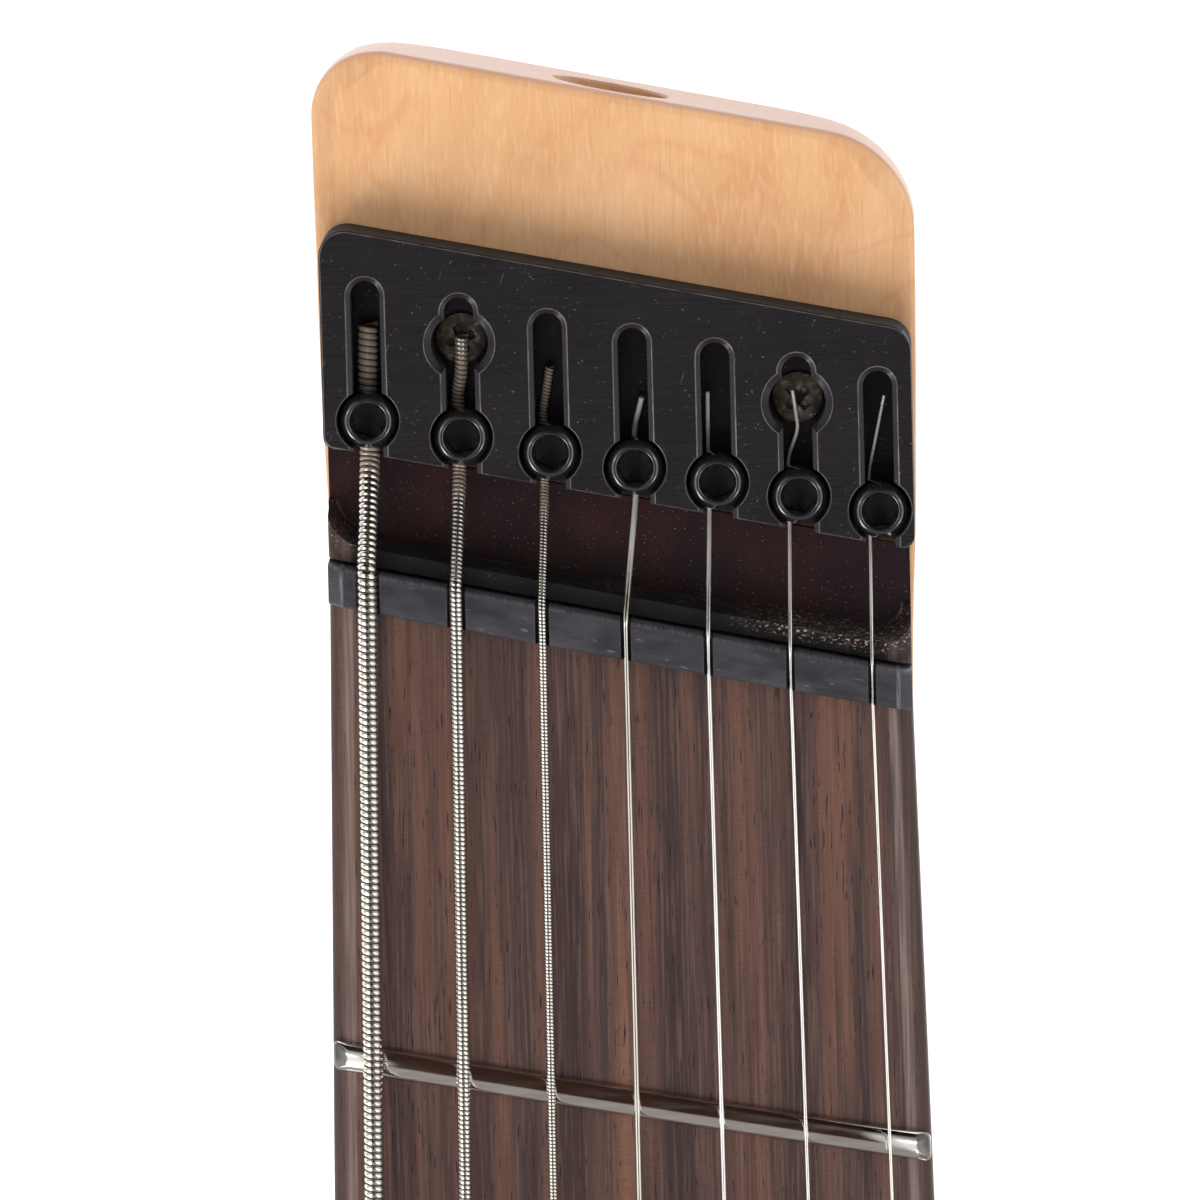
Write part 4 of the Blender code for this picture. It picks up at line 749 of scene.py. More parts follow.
# Painted shade: the walls inside each hexagon socket get a near-black, rough finish of their own.
socket_shade_finish = mottled("socket_shade", (0.0004,) * 3, [(0.3, (0.004, 0.004, 0.005)), (0.7, (0.010, 0.010, 0.011))],
                [(0.3, 0.35), (0.7, 0.60)], Specular_IOR_Level=0.15)
for i in range(7):
    name = f"lock_screw_{i + 1}"
    screw = piece(name + "_black", lock_screw_mesh(i), blackened, name, [name])
    screw.data.materials.append(socket_shade_finish)
    for face in screw.data.polygons:
        from_axle = math.hypot(face.center.x - lock_x[i], face.center.y - lock_y[i])
        face.material_index = int(from_axle < socket_half and socket_floor < face.center.z < socket_top)

# Wood screws of the plate: bronzed steel, countersunk into the channels, with a cross recess that the driver
# has worn. Their threads bite into the maple below.
screw_places = [(lock_x[i], lock_y[i] + screw_setback) for i in (1, 5)]
bronzed = mottled(
    "bronzed_steel", (0.0007,) * 3,
    [(0.42, (0.052, 0.043, 0.034)), (0.60, (0.105, 0.085, 0.068)), (0.74, (0.36, 0.29, 0.24))],
    [(0.3, 0.16), (0.7, 0.34)], detail=4, distortion=0.6, relief=(0.00008, 0.5), Metallic=0.15)


def cross_head(name, x, y, top, radius, turn, drop, shank=0.55, length=0.0085):
    """A screw from its head down: a polar grid whose height is a low dome minus a cross recess, two slots
    of soft section that taper towards their ends, and then the turned head and threaded shank."""
    angle = np.linspace(0, 2 * math.pi, 72, endpoint=False)
    rings = []
    for share in np.concatenate([[0], np.linspace(0.06, 0.80, 16), [0.88, 0.95, 1.0]]):
        a, b = share * radius * np.cos(angle - turn), share * radius * np.sin(angle - turn)
        narrow, wide = np.minimum(abs(a), abs(b)), np.maximum(abs(a), abs(b))
        slot = np.clip((0.17 * radius - narrow) / (0.06 * radius), 0, 1)
        slot *= np.clip((0.58 * radius - wide) / (0.12 * radius), 0, 1)
        recess = 0.9 * radius * slot * (0.30 + 0.25 * (1 - share))
        rings.append((share * radius, top - 0.42 * drop * share ** 3 - recess))
    shank *= radius
    neck = top - 1.3 * drop
    rings += [(radius, top - 0.8 * drop), (shank, neck)]
    pitch = length / 10
    for step in range(9):
        low = neck - step * pitch
        rings += [(shank, low - 0.1 * pitch), (shank * 0.72, low - 0.5 * pitch)]
    rings.append((0, neck - length))
    grid = [np.stack([x + reach * np.cos(angle), y + reach * np.sin(angle), 0 * angle + height], 1)
            for reach, height in rings]
    return skin(name, np.array(grid), caps=False, crease=40)


for number, (x, y) in enumerate(screw_places, 1):
    name = f"plate_screw_{number}"
    top = float(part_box(name)[1][2])
    mesh = cross_head(name + "_bronzed", x, y, top, 0.00205, 0.35 * number, 0.0011)
    piece(name + "_bronzed", mesh, bronzed, stands_for=[name])

# Strings: the three bass strings are steel cores wound with round nickel-plated wire, the four treble ones
# are plain tinned steel, the thickest of them duller. Each runs from its slider over its saddle and the nut
# to its lock screw and cut end.
saddle_x = string_places(saddle_spread, 0)
saddle_slope = fan(0)[1]
saddle_y = saddle_slope * saddle_x
saddle_string_z = crown(saddle_x) + 0.0043
slider_from_saddle, slider_drop = 0.014, 0.0031
clamp_z = channel_floor + 0.0003 + string_sizes / 2
lock_exits = np.array([-0.1, -0.4, -0.65, -0.1, -0.8, -0.9, -0.9]) / 1000
tail_lengths = np.array([9.5, 9.1, 7.7, 5.4, 7.1, 8.4, 9.3]) / 1000
tail_shifts = np.array([0.1, 0.1, 0.2, 0.6, -0.7, -0.4, 0.5]) / 1000
tail_rises = np.array([0.1, 0, 0.6, 0.9, 1.2, 0, 2.8]) / 1000
winding_crest, fine_crest = (-0.37, -0.20, 0.0, 0.20, 0.37), (-0.36, -0.13, 0.13, 0.36)
windings = {  # string: pitch, points round it, places of its rings across one turn
    0: (0.000545, 14, winding_crest), 1: (0.000386, 12, fine_crest), 2: (0.000289, 9, fine_crest)}
bend_half = 0.0006  # half the length over which a string's corners are rounded


def string_path(i):
    """Points down the middle of a string, from inside its slider to its cut end."""
    radius = string_sizes[i] / 2
    at_saddle = saddle_string_z[i] + radius
    at_nut = nut_string_z[i] + radius
    slider = saddle_y[i] - slider_from_saddle
    front = nut_y + nut_slope * nut_x[i]
    exit_x = lock_x[i] + lock_exits[i]
    reach = lock_radius + 0.0003 + radius
    points = [
        (saddle_x[i], slider - 0.0017, at_saddle - slider_drop),
        (saddle_x[i], slider, at_saddle - slider_drop),
        (saddle_x[i], saddle_y[i] - 0.0006, at_saddle - 0.0002),
        (saddle_x[i], saddle_y[i] + 0.0004, at_saddle),
        (nut_x[i], front, at_nut), (nut_x[i], front + nut_thick, at_nut - 0.0002),
        (exit_x, lock_y[i] - reach, clamp_z[i]), (exit_x, lock_y[i] + reach, clamp_z[i]),
    ]
    end_z = clamp_z[i] + tail_rises[i]
    if i in (1, 5):
        end_z = float(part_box(f"plate_screw_{1 if i == 1 else 2}")[1][2]) + radius + 0.0002
        points.append((lock_x[i], lock_y[i] + 0.0052, end_z))
        end_z += 0.0006
    points.append((lock_x[i] + tail_shifts[i], lock_y[i] + tail_lengths[i], end_z))
    return np.array(points)


def lengths_along(points):
    """How far each point lies from the first, along the broken line."""
    return np.concatenate([[0], np.cumsum(np.linalg.norm(np.diff(points, axis=0), axis=1))])


def along(points, places):
    """The path at lengths from its start, its corners rounded: the mean of the line round each place."""
    lengths = lengths_along(points)
    places = places[..., None]
    near = np.clip(places + np.linspace(-bend_half, bend_half, 7), 0, lengths[-1])
    near = np.where((places < bend_half) | (places > lengths[-1] - bend_half), places, near)
    return np.stack([np.interp(near, lengths, points[:, k]).mean(-1) for k in range(3)], -1)


def carried(points, places, radius, angle):
    """Points at an angle and a radius round the path: the side is across the path and level, the top is
    square to both."""
    middle = along(points, places)
    tangent = along(points, places + 0.0001) - along(points, places - 0.0001)
    tangent /= np.linalg.norm(tangent, axis=-1, keepdims=True).clip(1e-12)
    side = np.cross(tangent, [0, 0, 1.0])
    side /= np.linalg.norm(side, axis=-1, keepdims=True)
    top = np.cross(side, tangent)
    return middle + radius[..., None] * (np.cos(angle)[..., None] * side + np.sin(angle)[..., None] * top)


def wound_mesh(name, i):
    """A winding: a few rings of vertices follow each turn of the helix, each a share of a turn's pitch from
    its crest, and their radius is the round wire's section there: r - wire + sqrt(wire^2 - offset^2)."""
    points = string_path(i)
    pitch, around, crest = windings[i]
    offsets = np.array(crest)
    rings = len(offsets)
    length = lengths_along(points)[-1]
    wire = pitch / 2
    sections = string_sizes[i] / 2 - wire + np.sqrt(wire ** 2 - (offsets * pitch) ** 2)
    count = (int(length / pitch) - 2) * rings
    ring = np.arange(count)
    angle = np.linspace(0, 2 * math.pi, around, endpoint=False)
    places = ((ring // rings + 0.5 + offsets[ring % rings]) * pitch)[:, None] + pitch * angle / (2 * math.pi)
    radius = np.repeat(sections[ring % rings][:, None], around, 1)
    grid = carried(points, places, radius, np.repeat(angle[None], count, 0))
    index = np.arange(count * around).reshape(count, around)
    last = count - rings - 1
    wide = np.concatenate([index[:last + 1], index[rings:, :1][:last + 1]], 1)
    faces = np.stack([wide[:-1, :-1], wide[:-1, 1:], wide[1:, 1:], wide[1:, :-1]], -1).reshape(-1, 4).tolist()
    faces.append([*wide[0].tolist(), *index[rings - 1:0:-1, 0].tolist()])
    faces.append([*wide[last].tolist()[::-1], *index[last + 1:last + rings, 0].tolist()])
    used = np.unique(np.concatenate([np.array(face) for face in faces[-2:]] + [wide.ravel()]))
    renumber = np.zeros(count * around, int)
    renumber[used] = np.arange(len(used))
    mesh = bpy.data.meshes.new(name)
    mesh.from_pydata(grid.reshape(-1, 3)[used], [], [renumber[face].tolist() for face in faces])
    # The valleys between turns and the two end caps take the second material, a painted shade.
    groove = np.arange(len(faces)) // around % rings == rings - 1
    groove[-2:] = True
    finished(mesh, 180, False).polygons.foreach_set("material_index", groove.astype(np.int32))
    return mesh


def plain_mesh(name, i):
    """A plain string: twelve points round the path, in rings that lie close together where it bends."""
    points = string_path(i)
    lengths = lengths_along(points)
    near = [corner + np.linspace(-0.0009, 0.0009, 9) for corner in lengths[1:-1]]
    places = np.unique(np.clip(np.concatenate([*near, np.linspace(0, lengths[-1], 60)]), 0, lengths[-1]))
    places = places[np.concatenate([[True], np.diff(places) > 1e-5])]
    angle = np.linspace(0, 2 * math.pi, 12, endpoint=False)
    grid = carried(points, np.repeat(places[:, None], 12, 1), np.full((len(places), 12), string_sizes[i] / 2),
                   np.repeat(angle[None], len(places), 0))
    return skin(name, grid, crease=60, merge=False)


def wire_finish(name, size, detail, tones, roughness, falls, low_tone, low_roughness):
    """Metal whose tone and roughness follow a noise. Where it falls from one height to another, down into the
    lock plate's channel, it turns to the low tone, rougher and less metallic. This is partly tarnish and
    partly a painted sheen that stands in for the reflections the channel hides."""
    wire = finish(name)
    noise = pattern(wire, size, detail)
    sunk = span(wire, axis(wire, "Object", "Z"), *falls)
    feed(wire, Base_Color=mix(wire, sunk, ramp(wire, noise, *tones), low_tone),
         Metallic=maths(wire, "SUBTRACT", 1.0, product(wire, sunk, 0.6)),
         Roughness=mix(wire, sunk, ramp(wire, noise, *roughness), (low_roughness,) * 3))
    return wire


wound_wire = wire_finish(
    "wound_wire", (0.002, 0.006, 0.002), 3, [(0.3, (0.52, 0.485, 0.43)), (0.7, (0.67, 0.63, 0.565))],
    [(0.3, 0.12), (0.7, 0.20)], (0.0474, 0.0466), (0.34, 0.265, 0.21), 0.38)
# Painted shade: the narrow valley between a winding's turns, and its cut ends, get a dark, rough finish of
# their own.
groove_shade = mottled("winding_groove_shade", (0.0004,) * 3, [(0.3, (0.022, 0.019, 0.016)), (0.7, (0.050, 0.044, 0.036))],
                [(0.3, 0.50), (0.7, 0.75)], Specular_IOR_Level=0.3)
plain_wire = wire_finish(
    "plain_wire", (0.0004, 0.012, 0.0004), 2, [(0.3, (0.74, 0.72, 0.68)), (0.7, (0.90, 0.89, 0.86))],
    [(0.3, 0.24), (0.7, 0.34)], (0.0492, 0.0468), (0.62, 0.58, 0.54), 0.45)
dull_wire = wire_finish(
    "dull_wire", (0.0004, 0.006, 0.0004), 3, [(0.3, (0.50, 0.46, 0.41)), (0.7, (0.68, 0.64, 0.58))],
    [(0.3, 0.13), (0.7, 0.22)], (0.0500, 0.0476), (0.66, 0.63, 0.60), 0.42)
for i in range(7):
    name = f"string_{i + 1}"
    mesh = wound_mesh(name + "_wire", i) if i in windings else plain_mesh(name + "_wire", i)
    wire_metal = wound_wire if i in windings else dull_wire if i == 3 else plain_wire
    wire = piece(name + "_wire", mesh, wire_metal, body=None, stands_for=[name])
    if i in windings:
        mesh.materials.append(groove_shade)
    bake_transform(wire)

# Truss rod: a flat steel bar over a threaded rod, in a slot down the middle of the neck. At the head end a
# round nut with a 4 mm hexagonal socket waits inside the access hole.
rod_steel = finish("rod_steel", Metallic=1.0)
drawn = pattern(rod_steel, (0.0002, 0.006, 0.0002), 3)
rust = grain(rod_steel, (0.003,) * 3, (0.55, 0.0), (0.75, 0.6), detail=4)
rod_tone = ramp(rod_steel, drawn, (0.3, (0.30, 0.29, 0.28)), (0.7, (0.46, 0.45, 0.44)))
feed(rod_steel, Base_Color=mix(rod_steel, rust, rod_tone, (0.16, 0.09, 0.06)),
     Roughness=ramp(rod_steel, drawn, (0.3, 0.28), (0.7, 0.45)))
bump(rod_steel, drawn, 0.00003, 0.4)


def block_ring(low, high, corner, inset=0.0):
    """Outline of a rectangle between two corners, with round corners and six points on each side,
    anticlockwise."""
    arcs = slanted_plan(low[0], high[0], low[1], high[1], 0, corner, inset).reshape(4, 8, 2)
    sides = [np.linspace(arcs[k][-1], arcs[(k + 1) % 4][0], 8)[1:-1] for k in range(4)]
    return np.concatenate([points for pair in zip(arcs, sides) for points in pair])


def block_mesh(name, low, high, corner, edge, holes=()):
    """A block along Y with round corners and chamfered ends. A hole is (end, x, z, radius, depth): the end
    face's outline shrinks in steps to the hole's circle, which then runs into the block and closes."""
    low, high = np.array(low), np.array(high)
    plan = [block_ring(low[[0, 2]], high[[0, 2]], corner, inset) for inset in (edge, 0, 0, edge)]
    y = [low[1], low[1] + edge, high[1] - edge, high[1]]
    rings = [np.stack([ring[:, 0], np.full(len(ring), at), ring[:, 1]], 1) for ring, at in zip(plan, y)]
    for end, x, z, radius, depth in holes:
        face = rings[0] if end < 0 else rings[-1]
        bearing = np.arctan2(face[:, 2] - z, face[:, 0] - x)
        extra = []
        for reach, inward in ((radius + 0.00015, 0), (radius, 0.00015), (radius, depth), (0, depth)):
            extra.append(np.stack([x + reach * np.cos(bearing), face[:, 1] - end * inward,
                                   z + reach * np.sin(bearing)], 1))
        rings = extra[::-1] + rings if end < 0 else rings + extra
    return skin(name, np.array(rings))


def threaded(radius, start, stop, pitch):
    """Profile of a thread from start to stop: crests at the radius and roots 0.55 of a pitch deeper."""
    steps = int(abs(stop - start) / pitch)
    way = math.copysign(pitch, stop - start)
    points = []
    for step in range(steps):
        points += [(radius - 0.55 * pitch, start + step * way), (radius, start + (step + 0.5) * way)]
    return points + [(radius - 0.55 * pitch, start + steps * way)]


rod_low, rod_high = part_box("truss_rod")
bar = block_mesh("bar", (rod_low[0], rod_low[1], rod_z + 0.0004), rod_high, 0.0006, 0.0004)
rod_profile = [(0, rod_low[1]), (0.0019, rod_low[1] + 0.0003), (0.0019, rod_high[1] - 0.030)]
rod_profile += threaded(0.0021, rod_high[1] - 0.0295, rod_high[1] - 0.0005, 0.0007) + [(0, rod_high[1])]
lower = turned_mesh("lower", rod_profile, (0, 0, rod_low[2] + 0.0022), (0, 1, 0), 24)
blocks = []
for y in (rod_low[1] + 0.0005, rod_high[1] - 0.0405):
    block_high = (rod_high[0], y + 0.008, rod_high[2])
    blocks.append(block_mesh("block", (rod_low[0], y, rod_low[2]), block_high, 0.0005, 0.0004))
piece("rod_bars", joined("rod_bars", bar, lower, *blocks), rod_steel, stands_for=["truss_rod"])
rod_nut_profile = [(0, 0), (0.0024, 0), (0.0031, 0.0005), (0.0031, 0.0088), (0.0027, 0.0095),
                   (0.0024, 0.0095), (0.0022, 0.0090, 1), (0, 0.0045, 1), (0, 0.0035)]
rod_nut_place = (0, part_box("truss_rod_nut")[0][1], rod_z)
rod_nut = turned_mesh("rod_nut", rod_nut_profile, rod_nut_place, (0, 1, 0), 36, 0.0020)
piece("rod_nut", rod_nut, rod_steel, "truss_rod_nut", ["truss_rod_nut"])

# Side dots: white pearl discs, 2.1 mm across, glued in the bass side of the fretboard for the player's eye.
# Each lies midway between two frets, and at the twelfth there are two.
pearl = mottled("pearl", (0.0006, 0.0012, 0.0006), [(0.3, (0.62, 0.60, 0.56)), (0.7, (0.84, 0.83, 0.79))],
                [(0.3, 0.15), (0.7, 0.3)], distortion=1.0, relief=(0.00002, 0.3), Coat_Weight=0.5,
                Coat_Roughness=0.1)
dot_profile = [(0, -0.0010), (0.00105, -0.0010), (0.00105, 0.0), (0.00095, 0.00004), (0, 0.00006)]
dot_z, from_twelfth = board_under + 0.0028, 0.003
dots = []
for number in (3, 5, 7, 9, 12, 12, 15, 17, 19, 21, 24):
    before, after = fan(2 ** (-(number - 1) / 12)), fan(2 ** (-number / 12))
    half = float(half_width((before[0] + after[0]) / 2))
    y = (before[0] - before[1] * half + after[0] - after[1] * half) / 2
    if number == 12:
        y += from_twelfth if len(dots) == 4 else -from_twelfth
    place = (-float(half_width(y)), y, dot_z)
    dots.append(turned_mesh("dot", dot_profile, place, (-1, 0, 0), 24))
piece("side_dots", joined("side_dots", *dots), pearl)

# Body: two matched boards of mahogany, glued down the middle, shaped by a router and sealed with a thin satin
# oil. It is the solid of the CAD with its rounded edges smoothed.
mahogany = finish("oiled_mahogany", Coat_Weight=0.15, Coat_Roughness=0.35)
ribbon = pattern(mahogany, (0.0045, 0.11, 0.012), 3, 0.8, 0.02)
board_bend = grain(mahogany, (0.060, 0.40, 0.060), (0.30, (0.150, 0.058, 0.026)),
                   (0.50, (0.215, 0.090, 0.042)), (0.70, (0.270, 0.120, 0.058)), distortion=0.6, turn=0.04)
vessels = grain(mahogany, (0.00035, 0.0060, 0.0035), (0.60, 0.0), (0.68, 0.85), turn=0.03)
flecks = grain(mahogany, (0.0006, 0.0022, 0.0012), (0.60, 0.0), (0.72, 0.30))
mahogany_tone = layered(
    mahogany, board_bend, (ramp(mahogany, ribbon, (0.38, 0.0), (0.66, 0.55)), (0.125, 0.046, 0.022)),
    (vessels, (0.050, 0.018, 0.010)), (flecks, (0.42, 0.205, 0.105)))
feed(mahogany, Base_Color=mahogany_tone, Roughness=ramp(mahogany, ribbon, (0.3, 0.34), (0.7, 0.48)))
bump(mahogany, vessels, -0.00008, 0.6)
body_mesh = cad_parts["body"].data.copy()
body_mesh.materials.clear()
finished(body_mesh, 40)
body_normals = [corner.vector[:] for corner in body_mesh.corner_normals]
for way in (-1, 1):  # the flat faces stay flat where the rounded edge begins
    level_faces = [face for face in body_mesh.polygons if face.normal.z * way > 0.9999]
    level_points = {point for face in level_faces for point in face.vertices}
    for face in body_mesh.polygons:
        face.material_index = 0
        for corner in face.loop_indices:
            if face.normal.z * way > 0.77 and body_mesh.loops[corner].vertex_index in level_points:
                body_normals[corner] = (0, 0, way)
body_mesh.normals_split_custom_set(body_normals)
piece("mahogany_body", body_mesh, mahogany, stands_for=["body"])

# Bridge base: milled from aluminium and plated satin black, with a channel for each string's saddle and
# slider. Four small screws hold it to the body along its front edge.
plating = finish("satin_black_plating", Metallic=0.6)
cast = pattern(plating, (0.0009,) * 3, 4)
worn_off = grain(plating, (0.004,) * 3, (0.66, 0.0), (0.76, 0.35), detail=4)
plating_tone = ramp(plating, cast, (0.3, (0.016, 0.016, 0.018)), (0.7, (0.028, 0.027, 0.030)))
feed(plating, Base_Color=mix(plating, worn_off, plating_tone, (0.11, 0.105, 0.10)),
     Roughness=ramp(plating, cast, (0.3, 0.30), (0.7, 0.46)))
bump(plating, cast, 0.00004, 0.35)


def dressed_piece(name, node_name, material, width, segments=2, sharper=35):
    """A copy of a CAD node as a piece that stands for it: its loose triangles merged, and a live Bevel on
    the edges that are sharper than an angle."""
    mesh = bpy.data.meshes.new(name)
    shape = bmesh.new()
    shape.from_mesh(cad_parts[node_name].data)
    bmesh.ops.remove_doubles(shape, verts=shape.verts, dist=2e-6)
    shape.to_mesh(mesh)
    shape.free()
    mesh.materials.clear()
    mesh.shade_smooth()
    made = piece(name, mesh, material, stands_for=[node_name])
    modifier = made.modifiers.new("edges", "BEVEL")
    modifier.width = width
    modifier.segments = segments
    modifier.limit_method = "ANGLE"
    modifier.angle_limit = math.radians(sharper)
    modifier.use_clamp_overlap = True
    modifier.harden_normals = True
    return made


dressed_piece("bridge_plate", "bridge_base", plating, 0.00025)
base_screw_z = float(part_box("bridge_base")[1][2]) - 0.0020
base_screws = []
for number, share in enumerate((-1.5, -0.5, 0.5, 1.5)):
    x = share * 2 * saddle_spread / 6
    place = (x, saddle_slope * x + 0.0153, base_screw_z)
    base_screws.append(cross_head("screw", *place, 0.00135, 0.5 * number, 0.0006, length=0.006))
piece("bridge_screws", joined("bridge_screws", *base_screws), blackened)

# Saddles: a wedge for each string, notched at its crest, that slides in its channel to set the intonation.
# Two tiny set screws in its shoulder raise it.
saddle_low = 0.0456
channel_half_width = 0.0035


def saddle_mesh(i):
    """The profile along Y repeated across the string. Under the string the top dips by 0.45 of half a
    circle times exp(-(y / 3 mm)^2), and the outer columns are inset to chamfer the sides."""
    crest = saddle_string_z[i] - 0.0003
    y = np.array([-0.0065, -0.0062, -0.0048, -0.0030, -0.0014, -0.0005, 0, 0.0006, 0.0013, 0.0022, 0.0040,
                  0.0060, 0.0065, 0.0065, 0.0062, 0.0, -0.0062, -0.0065])
    top = np.interp(y[:13], [-0.0065, -0.0062, -0.0048, -0.0014, 0, 0.0013, 0.0022, 0.0060, 0.0065],
                    [saddle_low + 0.0046, saddle_low + 0.0050, saddle_low + 0.0054, crest - 0.0006, crest,
                     crest - 0.0005, crest - 0.0013, saddle_low + 0.0051, saddle_low + 0.0047])
    z = np.concatenate([top, np.array([0.0003, 0, 0, 0, 0.0003]) + saddle_low])
    columns = np.concatenate([[-1, -0.95], np.linspace(-0.8, -0.25, 6), np.linspace(-0.2, 0.2, 11),
                              np.linspace(0.25, 0.8, 6), [0.95, 1]]) * channel_half_width
    room = string_sizes[i] / 2 + 0.0001
    middle = saddle_low + 0.0030
    rings = []
    for x in columns:
        dip = math.sqrt(max(room ** 2 - x ** 2, 0)) * np.exp(-(y / 0.0030) ** 2) * (z > saddle_low + 0.002)
        shrink = 0.965 if abs(x) == channel_half_width else 1
        rings.append(np.stack([np.full(len(y), saddle_x[i] + x), saddle_y[i] + y * shrink,
                               middle + (z - dip * 0.45 - middle) * shrink], 1))
    return skin(f"saddle_{i + 1}_block", np.array(rings), crease=30)


grub_profile = [(0, -0.0040), (0.0010, -0.0040), (0.0010, 0.0001), (0.00085, 0.00025), (0.0006, 0.00025),
                (0, -0.0001, 1), (0, -0.0009, 1), (0, -0.0010)]
for i in range(7):
    name = f"saddle_{i + 1}"
    piece(name + "_block", saddle_mesh(i), plating, name, [name])
    places = [(saddle_x[i] + x, saddle_y[i] - 0.0045, saddle_low + 0.0053) for x in (-0.0022, 0.0022)]
    screws = [turned_mesh("grub", grub_profile, place, count=36, apothem=0.00045) for place in places]
    piece(name + "_screws", joined("grubs", *screws), blackened, name)

# Tuners: each string's ball end hooks in a slider, which a knurled knob behind the bridge draws back by its
# long screw.
knob_z = 0.0493
knob_length, knob_radius = 0.013, 0.0046


def knurled(low, high, teeth, twist, depth):
    """A shape for turned_mesh: between two heights the surface is cut into diamonds. The cut is the depth
    times the greater of two triangle waves, which wind round in opposite senses, to the power 1.5."""
    def shape(ring, height, angle):
        if not low < height < high:
            return ring
        turns = angle * teeth / (2 * math.pi)
        one, other = (np.abs((turns + way * height / twist) % 1 - 0.5) * 2 for way in (1, -1))
        return ring - depth * np.maximum(one, other) ** 1.5
    return shape


def knob_profile(start, stop, radius, chamfer, rows):
    """A knob's barrel: chamfered ends, two turned grooves, and many rows between them for the knurl."""
    inner = np.linspace(start + 0.0022, stop - 0.0016, rows)
    return ([(radius - chamfer, start), (radius, start + chamfer), (radius, start + 0.0014),
             (radius - 0.0003, start + 0.0015), (radius - 0.0003, start + 0.0018), (radius, start + 0.0020)]
            + [(radius, height) for height in inner] + [(radius, stop - chamfer), (radius - chamfer, stop)])


for i in range(7):
    body_name = f"tuner_slider_{i + 1}"
    low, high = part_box(body_name)
    eye_z = saddle_string_z[i] + string_sizes[i] / 2 - slider_drop
    holes = [(1, saddle_x[i], eye_z, string_sizes[i] / 2 + 0.0003, 0.0020),
             (-1, saddle_x[i], knob_z, 0.0023, 0.0115)]
    slider = block_mesh(f"slider_{i + 1}", low, high, 0.0006, 0.0005, holes)
    piece(f"slider_{i + 1}", slider, plating, body_name, [body_name])
    knob_name = f"tuner_knob_{i + 1}"
    low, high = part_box(knob_name)
    tip = float(high[1] - low[1])
    profile = [(0, 0.0010), (0.0030, 0.0010), (0.0034, 0.0004), (0.0037, 0.0)]
    profile += knob_profile(0.0, knob_length, knob_radius, 0.0006, 22) + [(0.0021, knob_length + 0.0001)]
    profile += threaded(0.0020, knob_length + 0.0003, tip - 0.0006, 0.0007) + [(0, tip)]
    knob = turned_mesh(f"knob_{i + 1}", profile, (saddle_x[i], low[1], knob_z), (0, 1, 0), 112,
                       shape=knurled(0.0021, knob_length - 0.0015, 28, 0.0011, 0.00028))
    piece(f"knob_{i + 1}", knob, plating, knob_name, [knob_name])

# Pickups: two coils under a moulded black cover, angled with the fan, and each string has a steel pole screw.
# A cross-head screw at each end holds the pickup in its pocket.
moulded = finish("moulded_black")
grainy = pattern(moulded, (0.00035,) * 3, 3)
tone = grain(moulded, (0.012,) * 3, (0.3, (0.011, 0.011, 0.012)), (0.7, (0.018, 0.018, 0.019)), detail=3)
feed(moulded, Base_Color=tone, Roughness=ramp(moulded, grainy, (0.3, 0.38), (0.7, 0.52)))
bump(moulded, grainy, 0.00004, 0.4)
pickup_top, pickup_floor = 0.0492, 0.0282
pickup_half, pickup_half_length = 0.045, 0.019
pickup_corner, pickup_screw_x = 0.003, 0.0405


def edged_slab(name, plan, levels):
    """Outlines from a function of the inset, one at each (inset, height) level, closed by flat caps."""
    rings = []
    for inset, height in levels:
        outline = plan(inset)
        rings.append(np.c_[outline, np.full(len(outline), height)])
    return skin(name, np.array(rings))


pole_profile = [(0, -0.003), (0.0022, -0.003), (0.0022, 0.0003), (0.0019, 0.0006), (0.0013, 0.0006),
                (0, 0.0001, 1), (0, -0.0010, 1), (0, -0.0011)]
for name, middle in (("bridge_pickup", 0.0400), ("neck_pickup", 0.1330)):
    share, slope = middle / nut_y, fan(middle / nut_y)[1]
    sides = (-pickup_half, pickup_half, middle - pickup_half_length, middle + pickup_half_length)
    cover = edged_slab(name, lambda inset: slanted_plan(*sides, slope, pickup_corner, inset), [
        (0.0006, pickup_floor), (0, pickup_floor + 0.0006), (0, pickup_top - 0.0012),
        (0.00016, pickup_top - 0.0006), (0.0006, pickup_top - 0.00016), (0.0012, pickup_top)])
    piece(name + "_cover", cover, moulded, stands_for=[name])
    poles = [turned_mesh("pole", pole_profile, (x, middle + slope * x, pickup_top), count=36, apothem=0.0009,
                         turn=x * 400) for x in saddle_x + (nut_x - saddle_x) * share]
    piece(name + "_poles", joined("poles", *poles), rod_steel)
    ends = [cross_head("end", x, middle + slope * x, pickup_top + 0.0004, 0.0021, x * 30, 0.0008,
                       length=0.005) for x in (-pickup_screw_x, pickup_screw_x)]
    piece(name + "_screws", joined("screws", *ends), blackened)

# Pots and their knobs: a sealed carbon pot under the top, its nut on the wood, and a knurled metal dial with
# a pearl dot for its pointer.
dial_radius = 0.0092
pot_floor = 0.0357  # the top of the cavity, where the pots and the switch hang
pot_radius, pot_thread = 0.0080, 0.0037
pointer_profile = [(0, -0.001), (0.0009, -0.001), (0.0009, 0), (0.0008, 0.00006), (0, 0.00008)]


def hexed(low, high, apothem):
    """A shape for turned_mesh: between two heights a nut's six flats cut the circle."""
    def shape(ring, height, angle):
        flats = apothem / np.cos((angle + math.pi / 6) % (math.pi / 3) - math.pi / 6)
        return np.minimum(ring, flats) if low < height < high else ring
    return shape


